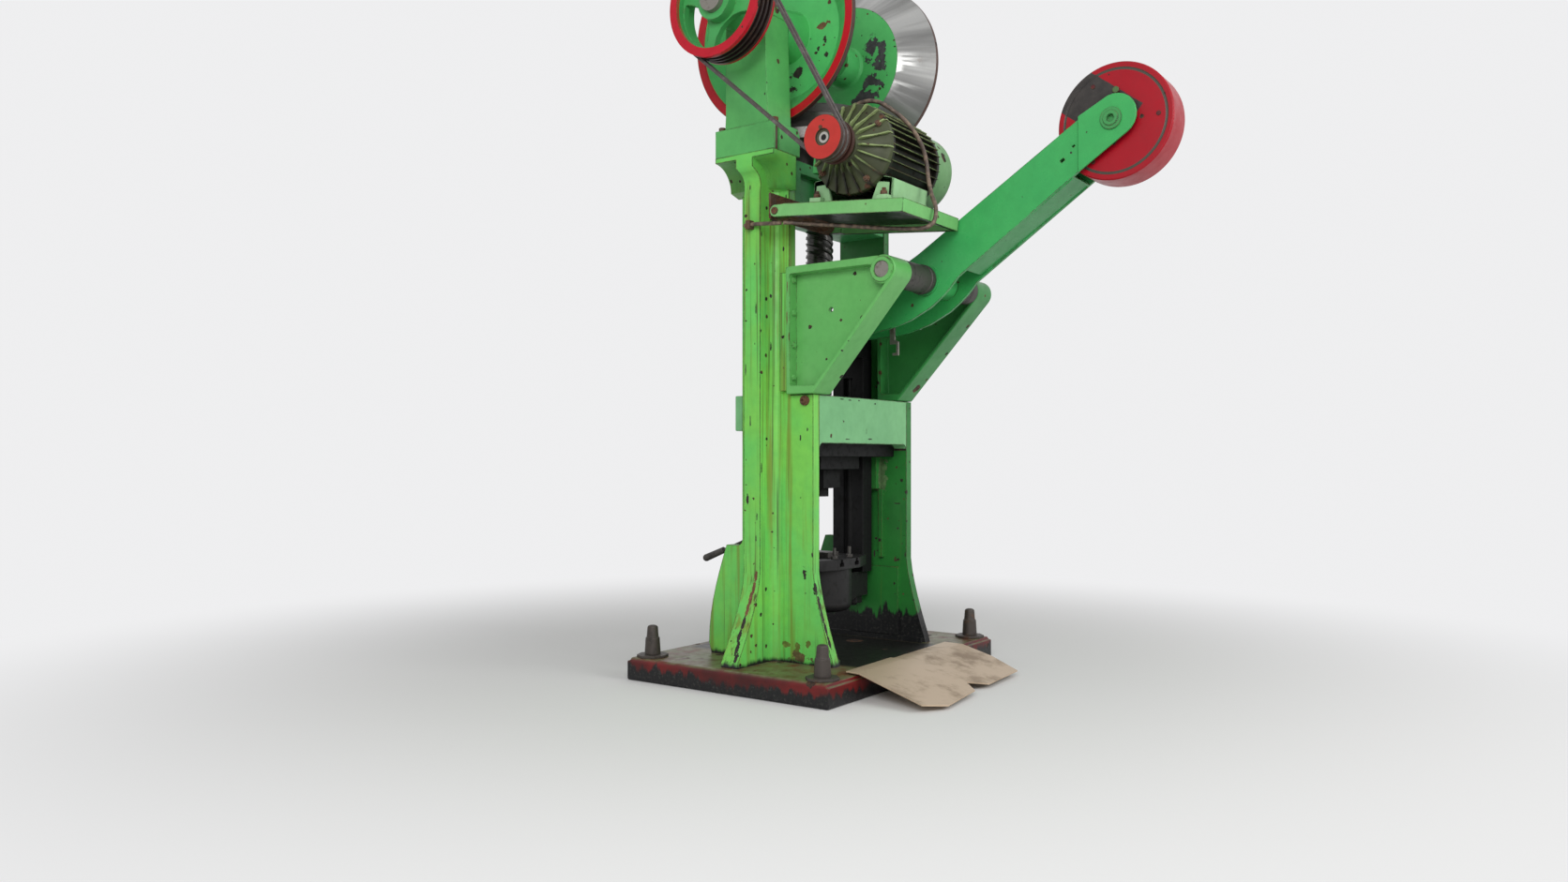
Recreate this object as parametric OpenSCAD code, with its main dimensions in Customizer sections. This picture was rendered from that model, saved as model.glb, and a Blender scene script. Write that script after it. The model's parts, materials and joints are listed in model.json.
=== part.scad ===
// Friction screw press with two cone discs, a rising yoke and a balanced lever.
// Millimetres. X runs along the friction shaft, -Y is the working front, Z is up.
// The origin is the centre of the underside of the bed.

/* [Bed] */
// Bed width along X
bed_w = 1510; // [1400:10:1700]
// Bed length along Y
bed_l = 1090; // [1060:10:1300]
// Bed thickness
bed_h = 100; // [70:5:130]
// Distance of each anchor from the bed's edges
anchor_inset = 82; // [70:2:110]

/* [Side frames] */
// Width over the two webs
frame_w = 873; // [860:2:920]
// Thickness of each web
web_t = 48; // [40:1:56]
// Distance of the front edge from the screw axis, below the apron's top
front_reach = 258; // [250:2:290]
// Distance of the narrower upper part's edges from the screw axis
upper_reach = 130; // [125:1:140]
// Height of the front apron's top edge
apron_top = 1281; // [1270:1:1300]
// Height of the window's top edge
window_top = 1070; // [1050:2:1090]
// Height of the side frames' flat top
frame_top = 2335; // [2330:1:2345]
// How far the foot spreads to the front
foot_front = 106; // [80:2:130]
// How far the foot spreads to the rear
foot_rear = 195; // [150:5:210]
// Width of the centre rib along Y
rib_w = 90; // [70:2:100]
// How far the centre rib stands out from the web
rib_out = 100; // [80:2:110]
// How far the centre rib spreads at the bed
rib_foot = 262; // [220:2:270]

/* [Bearing pedestals] */
// Width of a pedestal column along X
pedestal_w = 175; // [160:1:180]
// Length of a pedestal column along Y
pedestal_l = 212; // [200:2:220]
// Length of a pedestal's foot along Y
pedestal_foot_l = 320; // [300:2:330]
// Height of a pedestal's foot
pedestal_foot_h = 121; // [100:1:130]
// Distance of a pedestal's inner face from the screw axis
pedestal_in = 413; // [410:1:418]

/* [Friction drive] */
// Height of the friction shaft's axis
shaft_z = 2939; // [2935:1:2945]
// Friction shaft diameter
shaft_d = 110; // [100:1:116]
// Radius of the cone discs at the rim
cone_r = 434; // [430:1:440]
// Radius of the cone discs' small face
cone_small_r = 298; // [290:1:305]
// Distance of the small face from the screw axis
cone_in = 232; // [230:1:236]
// Distance of the cone's outer edge from the screw axis
cone_out = 370; // [366:1:374]
// Thickness of the disc rim outside the cone
disc_rim_t = 25; // [20:1:28]
// Gap between a cone and the flywheel along the shaft when idle
cone_gap = 5; // [4.5:0.1:7]
// How far the shaft shifts each way
shift = 4; // [3:0.1:4.2]
// Radius of the belt pulley
pulley_r = 240; // [230:1:245]
// Width of the belt pulley
pulley_w = 120; // [116:1:124]
// Distance of the belt pulley's outer face from the screw axis
pulley_x = 810; // [806:1:830]

/* [Flywheel and screw] */
// Height of the flywheel's lower face
wheel_z = 2436; // [2430:1:2445]
// Radius of the flywheel's plain rim
wheel_r = 382; // [376:1:386]
// Screw thread diameter
screw_d = 135; // [120:1:140]
// Screw journal diameter in the crown
journal_d = 118; // [100:1:119]
// Height of the crown beam's underside
crown_z = 2112; // [2106:1:2130]

/* [Yoke] */
// Stroke of the yoke
stroke = 240; // [200:5:245]
// Height of the yoke crosshead's underside at rest
head_z = 1500; // [1490:2:1510]
// Height of the yoke crosshead
head_h = 180; // [150:2:190]
// Length of the yoke crosshead along Y
head_l = 170; // [150:2:172]
// Distance of a tie bar's centre from the screw axis
tie_x = 298; // [290:1:300]
// Width of a tie bar along X
tie_w = 86; // [76:1:90]
// Length of a tie bar along Y
tie_l = 176; // [160:2:180]
// Height of the table's top at rest
table_z = 530; // [520:1:540]
// Table plate thickness
table_t = 50; // [40:1:60]
// Radius of the yoke's round anvil below the table
anvil_r = 155; // [140:1:165]
// Height of the tool holder's underside
holder_z = 860; // [850:1:880]

/* [Balance lever] */
// Distance of the pivot in front of the screw axis
pivot_y = 626; // [620:1:632]
// Height of the pivot
pivot_z = 1785; // [1780:1:1790]
// Pivot shaft diameter
pivot_d = 70; // [60:1:76]
// Lever width over its side plates
lever_w = 200; // [190:2:208]
// Lever depth at the pivot
lever_h = 206; // [196:2:212]
// Thickness of the lever's plates
lever_t = 16; // [12:1:18]
// Distance from the pivot to the balance wheel
lever_reach = 1010; // [980:5:1040]
// Angle of the lever above the horizontal at rest
lever_angle = 34; // [32:0.5:36]
// Balance wheel radius
weight_r = 235; // [215:2:245]
// Balance wheel thickness
weight_w = 148; // [140:1:154]
// Distance of the left bracket's outer face from the screw axis
left_bracket_out = 473; // [470:1:478]
// Distance of the right bracket's outer face from the screw axis
right_bracket_out = 450; // [448:1:460]
// Width of a bracket's flange along X
bracket_flange = 144; // [136:1:150]

/* [Motor] */
// Distance of the motor shaft in front of the screw axis
motor_y = 548; // [540:1:556]
// Height of the motor shaft
motor_z = 2268; // [2262:1:2274]
// Motor centre height above its plate
motor_h = 210; // [206:1:214]
// Motor radius over the fins
motor_r = 188; // [180:1:194]
// Motor shaft diameter
motor_d = 48; // [40:1:50]
// Motor pulley radius
motor_pulley_r = 88; // [84:1:92]
// Number of cooling fins
fins = 36; // [28:2:40]
// Distance of the plate hinge in front of the screw axis
hinge_y = 170; // [168:1:176]
// Height of the plate hinge
hinge_z = 2062; // [2058:1:2066]
// Hinge pin diameter
hinge_d = 30; // [24:1:34]
// Slope of the motor plate down to the front
plate_tilt = 5.2; // [4.6:0.1:5.6]
// Motor plate width along X
plate_w = 482; // [470:2:500]
// Motor plate length
plate_l = 628; // [610:2:640]

/* [Discharge plates] */
// Thickness of the sheets in front of the bed
sheet_t = 6; // [4:1:8]
// How far the sheets reach in front of the bed
sheet_reach = 410; // [350:10:450]

/* [Hidden] */

green = "#62b55c";
mint = "#7cc48c";
red = "#b01024";
steel = "#a9a9a6";
dark = "#34322f";
rust = "#6b5545";
bronze = "#9a7a3c";

seam = 0.3;
run = 0.05;
half_w = frame_w / 2;
web_in = half_w - web_t;
cone_slope = (cone_out - cone_in) / (cone_r - cone_small_r);
crank = lever_angle + 55;
control_y = 104;
control_z = 648;
control_drop = 21.5;
groove_pitch = 27;
groove_depth = 14;
belt_w = 14;
belt_t = 12;
belt_x = [for (i = [0, 1]) -pulley_x + pulley_w / 2 - groove_pitch * (1 - i)];
plate_x = -600;
foot_front_top = 508;
foot_rear_top = 605;
ledge_rear = 92;
window_r = 30;
bracket_top = 1842;
bracket_rear = 138;
bracket_boss_r = 62;
bracket_panel = 52;
bracket_skin = 18;
bracket_seat = 38;
bracket_bolt_z = [for (i = [0:3]) apron_top + 77 + 142 * i];
bracket_bolt_d = 16;
bracket_bolt_in = 26;
seat_out = 28;
roller_r = 40;
roller_y = 172;
roller_z = 1613;
lever_up = lever_h / 2 + 15;
lever_low = lever_h / 2 - 16;
box_end = lever_reach - weight_r - 12;
anchor_d = 44;

// Points on an arc in a plane
function arc(cx, cy, r, a0, a1, n = 10) =
    [for (i = [0:n]) let (a = a0 + (a1 - a0) * i / n) [cx + r * cos(a), cy + r * sin(a)]];

// Carries a profile drawn in Y and Z from x0 to x1
module along_x(x0, x1) {
    translate([x0, 0, 0]) rotate([90, 0, 90]) linear_extrude(x1 - x0) children();
}

// Carries a profile drawn in X and Z from y0 to y1
module along_y(y0, y1) {
    translate([0, y1, 0]) rotate([90, 0, 0]) linear_extrude(y1 - y0) children();
}

// Round bar along X
module bar_x(x0, x1, y, z, r) {
    translate([x0, y, z]) rotate([0, 90, 0]) cylinder(h = x1 - x0, r = r, $fn = 64);
}

// Body turned about an axis along X through y and z, profile given as radius and X
module turned_x(y, z) {
    translate([0, y, z]) rotate([0, 90, 0]) rotate_extrude($fn = 96) children();
}

// Body turned about the screw axis, profile given as radius and Z
module turned_z() {
    rotate_extrude($fn = 96) children();
}

// Hexagon nut or bolt head across flats, standing on z = 0
module hex(flats, h) {
    cylinder(h = h, r = flats / 2 / cos(30), $fn = 6);
}

// Both sides of a part drawn on the left
module pair() {
    children();
    mirror([1, 0, 0]) children();
}

module bed() {
    chamfer = 14;
    color("#6d1a1c") difference() {
        union() {
            translate([-bed_w / 2, -bed_l / 2, 0]) cube([bed_w, bed_l, bed_h - chamfer]);
            along_y(-bed_l / 2 + chamfer, bed_l / 2 - chamfer)
                polygon([[-bed_w / 2, bed_h - chamfer], [bed_w / 2, bed_h - chamfer],
                    [bed_w / 2 - chamfer, bed_h], [-bed_w / 2 + chamfer, bed_h]]);
        }
        for (x = [-1, 1], y = [-1, 1])
            translate([x * (bed_w / 2 - anchor_inset), y * (bed_l / 2 - anchor_inset), -1])
                cylinder(h = bed_h + 2, d = anchor_d + 6, $fn = 48);
    }
}

module anchor_bolts() {
    washer_r = 72;
    washer_t = 12;
    collar_h = 76;
    cap_h = 56;
    color(dark)
        for (x = [-1, 1], y = [-1, 1])
            translate([x * (bed_w / 2 - anchor_inset), y * (bed_l / 2 - anchor_inset), 0]) {
                translate([0, 0, 2]) cylinder(h = bed_h + 40, d = anchor_d, $fn = 48);
                difference() {
                    union() {
                        translate([0, 0, bed_h]) rotate([0, 0, 22.5]) cylinder(h = washer_t, r = washer_r, $fn = 8);
                        translate([0, 0, bed_h + washer_t]) cylinder(h = collar_h, r1 = 36, r2 = 32, $fn = 48);
                    }
                    translate([0, 0, bed_h]) cylinder(h = 39, d = anchor_d - 1, $fn = 48);
                }
                translate([0, 0, bed_h + washer_t + collar_h]) cylinder(h = cap_h, r1 = 28, r2 = 24, $fn = 48);
            }
}

// Outline of a side frame's web in Y and Z
function web_outline() = concat(
    [[-front_reach - foot_front, bed_h], [-front_reach - foot_front * 0.93, bed_h + 30]],
    [for (i = [1:6]) let (t = i / 6)
        [-front_reach - foot_front * 0.93 * pow(1 - t, 1.35),
            bed_h + 30 + (foot_front_top - bed_h - 30) * t]],
    [[-front_reach, apron_top], [-bracket_rear, apron_top], [-bracket_rear, bracket_top - 6],
        [-upper_reach, bracket_top + 6]],
    [[-upper_reach, frame_top], [upper_reach, frame_top], [upper_reach, foot_rear_top + 60]],
    arc(upper_reach + 30, foot_rear_top + 30, 30, 180, 270, 4),
    [[upper_reach + ledge_rear, foot_rear_top]],
    [for (i = [1:7]) let (t = i / 7)
        [upper_reach + ledge_rear + (foot_rear - ledge_rear) * sin(90 * t),
            foot_rear_top - (foot_rear_top - bed_h - 50) * t]],
    [[upper_reach + foot_rear - 14, bed_h]]);

// Centre rib's outline in X and Z, with its spread at the bed and its corbel under the pedestal
function rib_outline() = concat(
    [[-half_w + 10, bed_h], [-half_w - rib_foot, bed_h]],
    [for (i = [0:7]) let (t = i / 7)
        [-half_w - rib_out - (rib_foot - rib_out) * pow(1 - t, 1.5), bed_h + 20 + 380 * t]],
    [[-half_w - rib_out, frame_top - 170]],
    arc(-pedestal_in - pedestal_w - 6, frame_top - 130, 62, 0, 60, 5),
    [[-pedestal_in - pedestal_w - 6, frame_top - 60], [-pedestal_in - pedestal_w - 6, frame_top],
        [-half_w + 10, frame_top]]);

// Corbel that spreads from the web to the pedestal's foot
module corbel() {
    reach = pedestal_in + pedestal_w + 6;
    drop = 112;
    along_y(-pedestal_foot_l / 2, pedestal_foot_l / 2)
        polygon(concat([[-half_w + 12, frame_top], [-reach, frame_top], [-reach, frame_top - 22]],
            arc(-reach, frame_top - 22 - drop, drop, 90, 0, 10),
            [[-half_w + 12, frame_top - 150]]));
}

// Left half of the frame's side, the right one is its mirror image
module side_frame() {
    difference() {
        union() {
            along_x(-half_w, -web_in) polygon(web_outline());
            along_y(-rib_w / 2, rib_w / 2) polygon([for (p = rib_outline()) p]);
            corbel();
            rib_fillets();
            translate([-web_in - 2, -front_reach - foot_front + 12, bed_h])
                cube([26, front_reach + foot_front + upper_reach + foot_rear - 40, 24]);
            translate([-half_w - seat_out, -bracket_rear, apron_top + 18])
                cube([seat_out + 2, bracket_seat, bracket_top - apron_top - 40]);
        }
        for (z = bracket_bolt_z)
            for (out = [left_bracket_out, right_bracket_out])
                translate([-out + bracket_bolt_in, -bracket_rear + bracket_seat - 4, z])
                    rotate([90, 0, 0]) cylinder(h = bracket_seat, d = bracket_bolt_d + 2 * run, $fn = 32);
    }
}

// Hollow fillets where the centre rib meets the web
module rib_fillets() {
    r = 46;
    for (s = [-1, 1])
        translate([0, 0, bed_h])
            linear_extrude(frame_top - bed_h - 150)
                polygon(concat([[-half_w + 4, s * (rib_w / 2 - 4)]],
                    [[-half_w - r, s * (rib_w / 2 - 4)]],
                    [for (p = arc(-half_w - r, s * (rib_w / 2 + r), r, -s * 90, 0, 6)) p],
                    [[-half_w + 4, s * (rib_w / 2 + r)]]));
}

module left_side_frame() {
    color(green) side_frame();
}

module right_side_frame() {
    color(green) mirror([1, 0, 0]) side_frame();
}

module front_apron() {
    t = 70;
    color(mint) along_y(-front_reach, -front_reach + t)
        polygon(concat([[-web_in, apron_top], [-web_in, window_top - window_r]],
            arc(-web_in + window_r, window_top - window_r, window_r, 180, 90, 6),
            arc(web_in - window_r, window_top - window_r, window_r, 90, 0, 6),
            [[web_in, window_top - window_r], [web_in, apron_top]]));
}

module rear_apron() {
    t = 42;
    color(green) difference() {
        translate([-half_w, upper_reach, apron_top - 154]) cube([frame_w, t, 160]);
        for (x = [-1, 1], z = [40, 120])
            translate([x * (half_w - web_t / 2), upper_reach + t - 12, apron_top - 154 + z])
                rotate([-90, 0, 0]) cylinder(h = 20, d = 30, $fn = 32);
    }
}

module fixed_beam() {
    front = front_reach - 70;
    color(green) difference() {
        union() {
            translate([-web_in, -front, holder_z + 150]) cube([2 * web_in, front + upper_reach, 230]);
            translate([-170, -120, holder_z + 90]) cube([340, 240, 60]);
        }
        for (x = [-1, 1])
            translate([x * tie_x - tie_w / 2 - 2, -tie_l / 2 - 2, holder_z])
                cube([tie_w + 4, tie_l + 4, 500]);
        translate([0, 0, holder_z + 300]) cylinder(h = 200, d = screw_d + 40, $fn = 64);
        translate([-170, -front - 1, holder_z + 250]) cube([340, 80, 200]);
    }
}

module guide_gibs() {
    color(green) pair() {
        translate([-web_in, -tie_l / 2 - 24, holder_z - 10])
            cube([web_in - tie_x - tie_w / 2 - 1, tie_l + 48, 160 - seam]);
        translate([-web_in, -tie_l / 2 - 44, foot_front_top])
            cube([web_t / 2, 20, holder_z - 10 - foot_front_top]);
        translate([-web_in + seam, -front_reach + 40, bed_h + 26])
            cube([16, front_reach + 20, foot_front_top - bed_h - 70]);
    }
}

module tool_holder() {
    color(dark) {
        translate([-72, -72, holder_z]) cube([144, 144, 90]);
        translate([0, 0, holder_z - 40]) cylinder(h = 40, r = 44, $fn = 64);
    }
}

module crown_beam() {
    color(green) difference() {
        union() {
            translate([-web_in, -upper_reach + 4, crown_z])
                cube([2 * web_in, 2 * upper_reach - 8, frame_top - crown_z]);
            translate([0, 0, frame_top]) cylinder(h = 34, r = 120, $fn = 64);
        }
        translate([0, 0, crown_z - 1]) cylinder(h = frame_top, d = journal_d + 2 * run, $fn = 96);
        for (x = [-1, 1])
            translate([x * 260 - 80, -upper_reach - 1, crown_z + 50]) cube([160, 40, 120]);
    }
}

// Outline of a bracket in Y and Z, its lower end at y = low
function bracket_outline(low) = concat(
    [[-bracket_rear - seam, apron_top + 3], [-bracket_rear - seam, bracket_top - 10]],
    arc(-bracket_rear - 10, bracket_top - 10, 10, 0, 90, 3),
    [[-pivot_y + 20, bracket_top]],
    arc(-pivot_y, pivot_z, bracket_boss_r, 70, 217, 12),
    [[low - 6, apron_top + 9], [low, apron_top + 3]]);

// Recess in a bracket's faces, inside its rim
function bracket_recess(low) = concat(
    arc(-bracket_rear - 28, apron_top + 46, 8, 0, -90, 3),
    [[low - 10, apron_top + 38]],
    arc(-pivot_y, pivot_z, bracket_boss_r - 2, 260.5, 382, 10),
    [[-pivot_y + 72, bracket_top - 32]],
    arc(-bracket_rear - 28, bracket_top - 40, 8, 90, 0, 3));

// Bracket with a rim round a thin panel, drawn on the left
module bracket(out, low) {
    difference() {
        union() {
            along_x(-out, -out + bracket_flange) polygon(bracket_outline(low));
            bar_x(-out - 9, -out + bracket_flange, -pivot_y, pivot_z, bracket_boss_r - 10);
        }
        along_x(-out - 1, -out + bracket_panel) polygon(bracket_recess(low));
        along_x(-out + bracket_panel + bracket_skin, 0) polygon(bracket_recess(low));
        bar_x(-out - 20, 0, -pivot_y, pivot_z, pivot_d / 2 + run);
        for (z = bracket_bolt_z)
            translate([-out + bracket_bolt_in, -bracket_rear + 1, z])
                rotate([90, 0, 0]) cylinder(h = 60, d = bracket_bolt_d + 2 * run, $fn = 32);
        bar_x(-out - 1, 0, -341, bracket_top - 198, 11);
    }
}

module left_bracket() {
    color(mint) bracket(left_bracket_out, -front_reach - 19);
}

module right_bracket() {
    color(mint) mirror([1, 0, 0]) bracket(right_bracket_out, -front_reach + 4);
}

module bracket_bolts() {
    face = -bracket_rear - 20 - seam;
    color(green)
        for (z = bracket_bolt_z,
            x = [bracket_bolt_in - left_bracket_out, right_bracket_out - bracket_bolt_in])
            translate([x, 0, z]) {
                translate([0, -bracket_rear + bracket_seat - 6, 0])
                    rotate([90, 0, 0]) cylinder(h = bracket_seat + 16, d = bracket_bolt_d, $fn = 32);
                translate([0, face, 0]) rotate([90, 0, 0]) hex(24, 11);
            }
}

// Rusty lug at the apron's corner
module frame_lugs() {
    face = -half_w - rib_out - seam;
    color(rust) difference() {
        union() {
            bar_x(-half_w - 26, -half_w - seam, -218, apron_top - 26, 14);
            bar_x(-half_w - 14, -half_w - seam, -218, apron_top - 26, 22);
        }
        bar_x(-half_w - 30, -half_w - 18, -218, apron_top - 26, 7);
    }
    color(rust) difference() {
        translate([face - 34, -12, 2010]) cube([34, 24, 38]);
        translate([-556, 13, 2029]) rotate([90, 0, 0]) cylinder(h = 26, r = cable_r + 0.8, $fn = 32);
    }
}

// Pedestal that carries the shaft, drawn on the left
module pedestal() {
    x0 = -pedestal_in - pedestal_w;
    foot_x = 6;
    split = shaft_z - 0.4;
    difference() {
        union() {
            along_y(-pedestal_foot_l / 2, pedestal_foot_l / 2)
                polygon([[x0 - foot_x, frame_top], [-pedestal_in + 17, frame_top],
                    [-pedestal_in + 17, frame_top + pedestal_foot_h - 26],
                    [-pedestal_in, frame_top + pedestal_foot_h],
                    [x0 - foot_x, frame_top + pedestal_foot_h]]);
            along_x(x0, -pedestal_in)
                polygon([[-pedestal_l / 2 - 18, frame_top + pedestal_foot_h - 1],
                    [pedestal_l / 2 + 4, frame_top + pedestal_foot_h - 1],
                    [pedestal_l / 2, frame_top + pedestal_foot_h + 60], [pedestal_l / 2, split],
                    [-pedestal_l / 2, split]]);
        }
        bar_x(x0 - 20, 0, 0, shaft_z, shaft_d / 2 + 16 + run);
        for (y = [-1, 1]) {
            translate([x0 - foot_x + 30, y * (pedestal_foot_l / 2 - 16), frame_top - 1])
                cylinder(h = pedestal_foot_h + 2, d = 32, $fn = 32);
            translate([x0 - foot_x + 14, y > 0 ? pedestal_foot_l / 2 - 16 : -pedestal_foot_l / 2 - 1,
                frame_top - 1]) cube([32, 17, pedestal_foot_h + 2]);
            translate([x0 + pedestal_w / 2, y * (pedestal_l / 2 - 17), split - 80])
                cylinder(h = 100, d = 20.2, $fn = 32);
        }
    }
}

module left_pedestal() {
    color(green) pedestal();
}

module right_pedestal() {
    color(green) mirror([1, 0, 0]) pedestal();
}

// Cap over the shaft bearing, drawn on the left
module bearing_cap() {
    x0 = -pedestal_in - pedestal_w;
    split = shaft_z + 0.4;
    r = pedestal_l / 2 - 14;
    difference() {
        union() {
            intersection() {
                bar_x(x0 + 8, -pedestal_in - 8, 0, shaft_z, r);
                translate([x0, -r, split]) cube([pedestal_w, 2 * r, r]);
            }
            translate([x0, -pedestal_l / 2, split]) cube([pedestal_w, pedestal_l, 40]);
            translate([x0 + pedestal_w / 2, 0, shaft_z + r - 6])
                cylinder(h = 26, d1 = 44, d2 = 30, $fn = 32);
        }
        bar_x(x0 - 20, 0, 0, shaft_z, shaft_d / 2 + 16 + run);
        for (y = [-1, 1])
            translate([x0 + pedestal_w / 2, y * (pedestal_l / 2 - 17), split - 1]) {
                cylinder(h = 100, d = 20.2, $fn = 32);
                translate([0, 0, 41]) cylinder(h = 60, d = 38, $fn = 32);
            }
    }
}

module bearing_caps() {
    color(green) pair() bearing_cap();
}

module bearing_bushes() {
    color(bronze) pair() difference() {
        bar_x(-pedestal_in - pedestal_w - 4, -pedestal_in + 4, 0, shaft_z, shaft_d / 2 + 16);
        bar_x(-pedestal_in - pedestal_w - 5, -pedestal_in + 5, 0, shaft_z, shaft_d / 2 + run);
    }
}

module cap_bolts() {
    x0 = -pedestal_in - pedestal_w;
    color(rust) pair()
        for (y = [-1, 1]) {
            translate([x0 + pedestal_w / 2, y * (pedestal_l / 2 - 17), shaft_z - 78])
                cylinder(h = 146, d = 20, $fn = 32);
            translate([x0 + pedestal_w / 2, y * (pedestal_l / 2 - 17), shaft_z + 40 + 2 * seam]) hex(30, 18);
            translate([x0 - 6 + 30, y * (pedestal_foot_l / 2 - 16), frame_top + 0.3])
                cylinder(h = pedestal_foot_h + 18, d = 24, $fn = 32);
            translate([x0 - 6 + 30, y * (pedestal_foot_l / 2 - 16), frame_top + pedestal_foot_h + 0.3])
                hex(29, 20);
        }
}

module pivot_shaft() {
    color(steel) bar_x(-left_bracket_out - 6, right_bracket_out + 12, -pivot_y, pivot_z, pivot_d / 2);
}

// Carrier of the motor plate's hinge, bolted to the left web and the crown
module hinge_bracket() {
    color(rust) difference() {
        union() {
            translate([plate_x + 10, -upper_reach - 10, hinge_z - 26]) cube([plate_w - 20, 10 - seam, 110]);
            for (x = [plate_x + 40, plate_x + plate_w - 100])
                along_x(x, x + 50)
                    polygon(concat([[-upper_reach - 9, hinge_z + 30], [-upper_reach - 9, hinge_z - 26]],
                        arc(-hinge_y, hinge_z, hinge_d / 2 + 11, 270, 90, 8)));
        }
        bar_x(plate_x, 0, -hinge_y, hinge_z, hinge_d / 2 + run);
    }
}

module hinge_pin() {
    color(rust) bar_x(plate_x - 8, plate_x + plate_w + 8, -hinge_y, hinge_z, hinge_d / 2);
}

// Points of a belt's outline round the two pulleys, in Y and Z
function belt_outline(lift) =
    let (dy = -motor_y, dz = motor_z - shaft_z, d = norm([dy, dz]), a = atan2(dz, dy),
        big = pulley_r - groove_depth + lift, small = motor_pulley_r - groove_depth + lift,
        g = acos((big - small) / d))
    concat(arc(0, shaft_z, big, a + g, a + 360 - g, 40),
        arc(dy, motor_z, small, a - g, a + g, 20));

module v_belts() {
    color("#1d1b1a")
        for (x = belt_x)
            along_x(x - belt_w / 2, x + belt_w / 2)
                difference() {
                    polygon(belt_outline(belt_t + 1));
                    polygon(belt_outline(1));
                }
}

// Loose sheet lying on the bed's front edge and the floor, cut to a plan outline
module sheet(plan, lift) {
    edge = -bed_l / 2;
    inner = 110;
    end = edge - sheet_reach;
    intersection() {
        along_x(-700, 700)
            polygon([[edge + inner, bed_h + seam + lift], [edge - 4, bed_h + seam + lift],
                [end, seam + lift], [end, seam + sheet_t + lift],
                [edge - 3, bed_h + seam + sheet_t + lift], [edge + inner, bed_h + seam + sheet_t + lift]]);
        linear_extrude(400)
            polygon([for (q = plan) [q[0], edge - sheet_reach * q[1]]]);
    }
}

module left_discharge_plate() {
    color(rust) sheet([[-520, -0.16], [-587, 0.8], [-472, 0.94], [-173, 0.87], [-89, 0.63],
        [-150, 0.1], [-128, -0.19]], sheet_t + 1);
}

module right_discharge_plate() {
    color(rust) sheet([[-170, -0.19], [-130, 0.62], [0, 0.83], [338, 0.79], [410, 0.4], [433, -0.24]], 0);
}

// Boss and pin on the web's inner face for the control lever
module lever_stand() {
    color(dark) {
        bar_x(-web_in + seam, -web_in + 17, control_y, control_z, 22);
        bar_x(-web_in + 16, -web_in + 36, control_y, control_z, 9);
        bar_x(-web_in + 35, -web_in + 40, control_y, control_z, 15);
    }
}

// Lead that ends at the rib, in front of the web
module supply_lead() {
    color("#26231f") tube([[-577, -186, 2012], [-578, -150, 2014], [-576, -112, 2018], [-568, -72, 2023],
        [-560, -44, 2027], [-556, -18, 2029], [-556, 26, 2029]], cable_r);
}

module shift_sleeve() {
    x0 = pedestal_in + pedestal_w + 24;
    color(dark) difference() {
        union() {
            bar_x(x0, x0 + 60, 0, shaft_z, shaft_d / 2 + 28);
            bar_x(x0, x0 + 12, 0, shaft_z, shaft_d / 2 + 44);
            bar_x(x0 + 48, x0 + 60, 0, shaft_z, shaft_d / 2 + 44);
        }
        bar_x(x0 - 1, x0 + 61, 0, shaft_z, shaft_d / 2 - 14 + run);
    }
}

module friction_shaft() {
    end = pedestal_in + pedestal_w + 23.5;
    color(steel) {
        bar_x(-pulley_x - 22, end, 0, shaft_z, shaft_d / 2);
        bar_x(end - 1, end + 74, 0, shaft_z, shaft_d / 2 - 14);
        translate([end + 61, 0, shaft_z]) rotate([0, 90, 0]) hex(110, 24);
    }
}

// Profile of a grooved rim, as radius and X
function grooved(r, w, inner, first, count) = concat(
    [[inner, 0], [r, 0]],
    [for (i = [0:count - 1], k = [0:3])
        let (c = first + groove_pitch * i, half = [9, 7.6, 7.6, 9][k], s = k < 2 ? -1 : 1)
        [k == 0 || k == 3 ? r : r - groove_depth, c + s * half]],
    [[r, w], [inner, w]]);

module belt_pulley() {
    first = pulley_w / 2 - groove_pitch;
    web_x = -pulley_x + 52;
    color(red) difference() {
        union() {
            translate([-pulley_x, 0, 0]) turned_x(0, shaft_z)
                polygon(grooved(pulley_r, pulley_w, pulley_r - 38, first, 3));
            turned_x(0, shaft_z)
                polygon([[60, web_x], [pulley_r - 37, web_x - 6], [pulley_r - 37, web_x + 26],
                    [60, web_x + 26]]);
            bar_x(-pulley_x + 4, -pulley_x + pulley_w + 34, 0, shaft_z, 84);
        }
        bar_x(-pulley_x - 1, 0, 0, shaft_z, shaft_d / 2 + run);
        for (a = [62:90:360])
            translate([0, 0, shaft_z]) rotate([a, 0, 0])
                along_x(web_x - 30, web_x + 60)
                    intersection() {
                        translate([0, -35]) circle(r = 165, $fn = 96);
                        translate([0, -230]) circle(r = 140, $fn = 96);
                    }
    }
}

// Dished body of a cone disc, drawn on the right
module cone_disc() {
    face_t = 10;
    back = cone_out + disc_rim_t;
    turned_x(0, shaft_z)
        polygon([[shaft_d / 2 + run, cone_in - 118], [90, cone_in - 118], [92, cone_in - 12],
            [104, cone_in], [cone_small_r - 2, cone_in], [cone_small_r - 2, cone_in + face_t],
            [cone_r - face_t / cone_slope - 2, cone_out], [cone_r, cone_out + 0.5], [cone_r, back],
            [cone_r - 38, back], [cone_small_r - 14, cone_in + 34], [122, cone_in + 28],
            [98, back - 12], [shaft_d / 2 + run, back - 12]]);
}

module right_cone_disc() {
    color(green) cone_disc();
}

module left_cone_disc() {
    color(green) mirror([1, 0, 0]) cone_disc();
}

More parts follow.
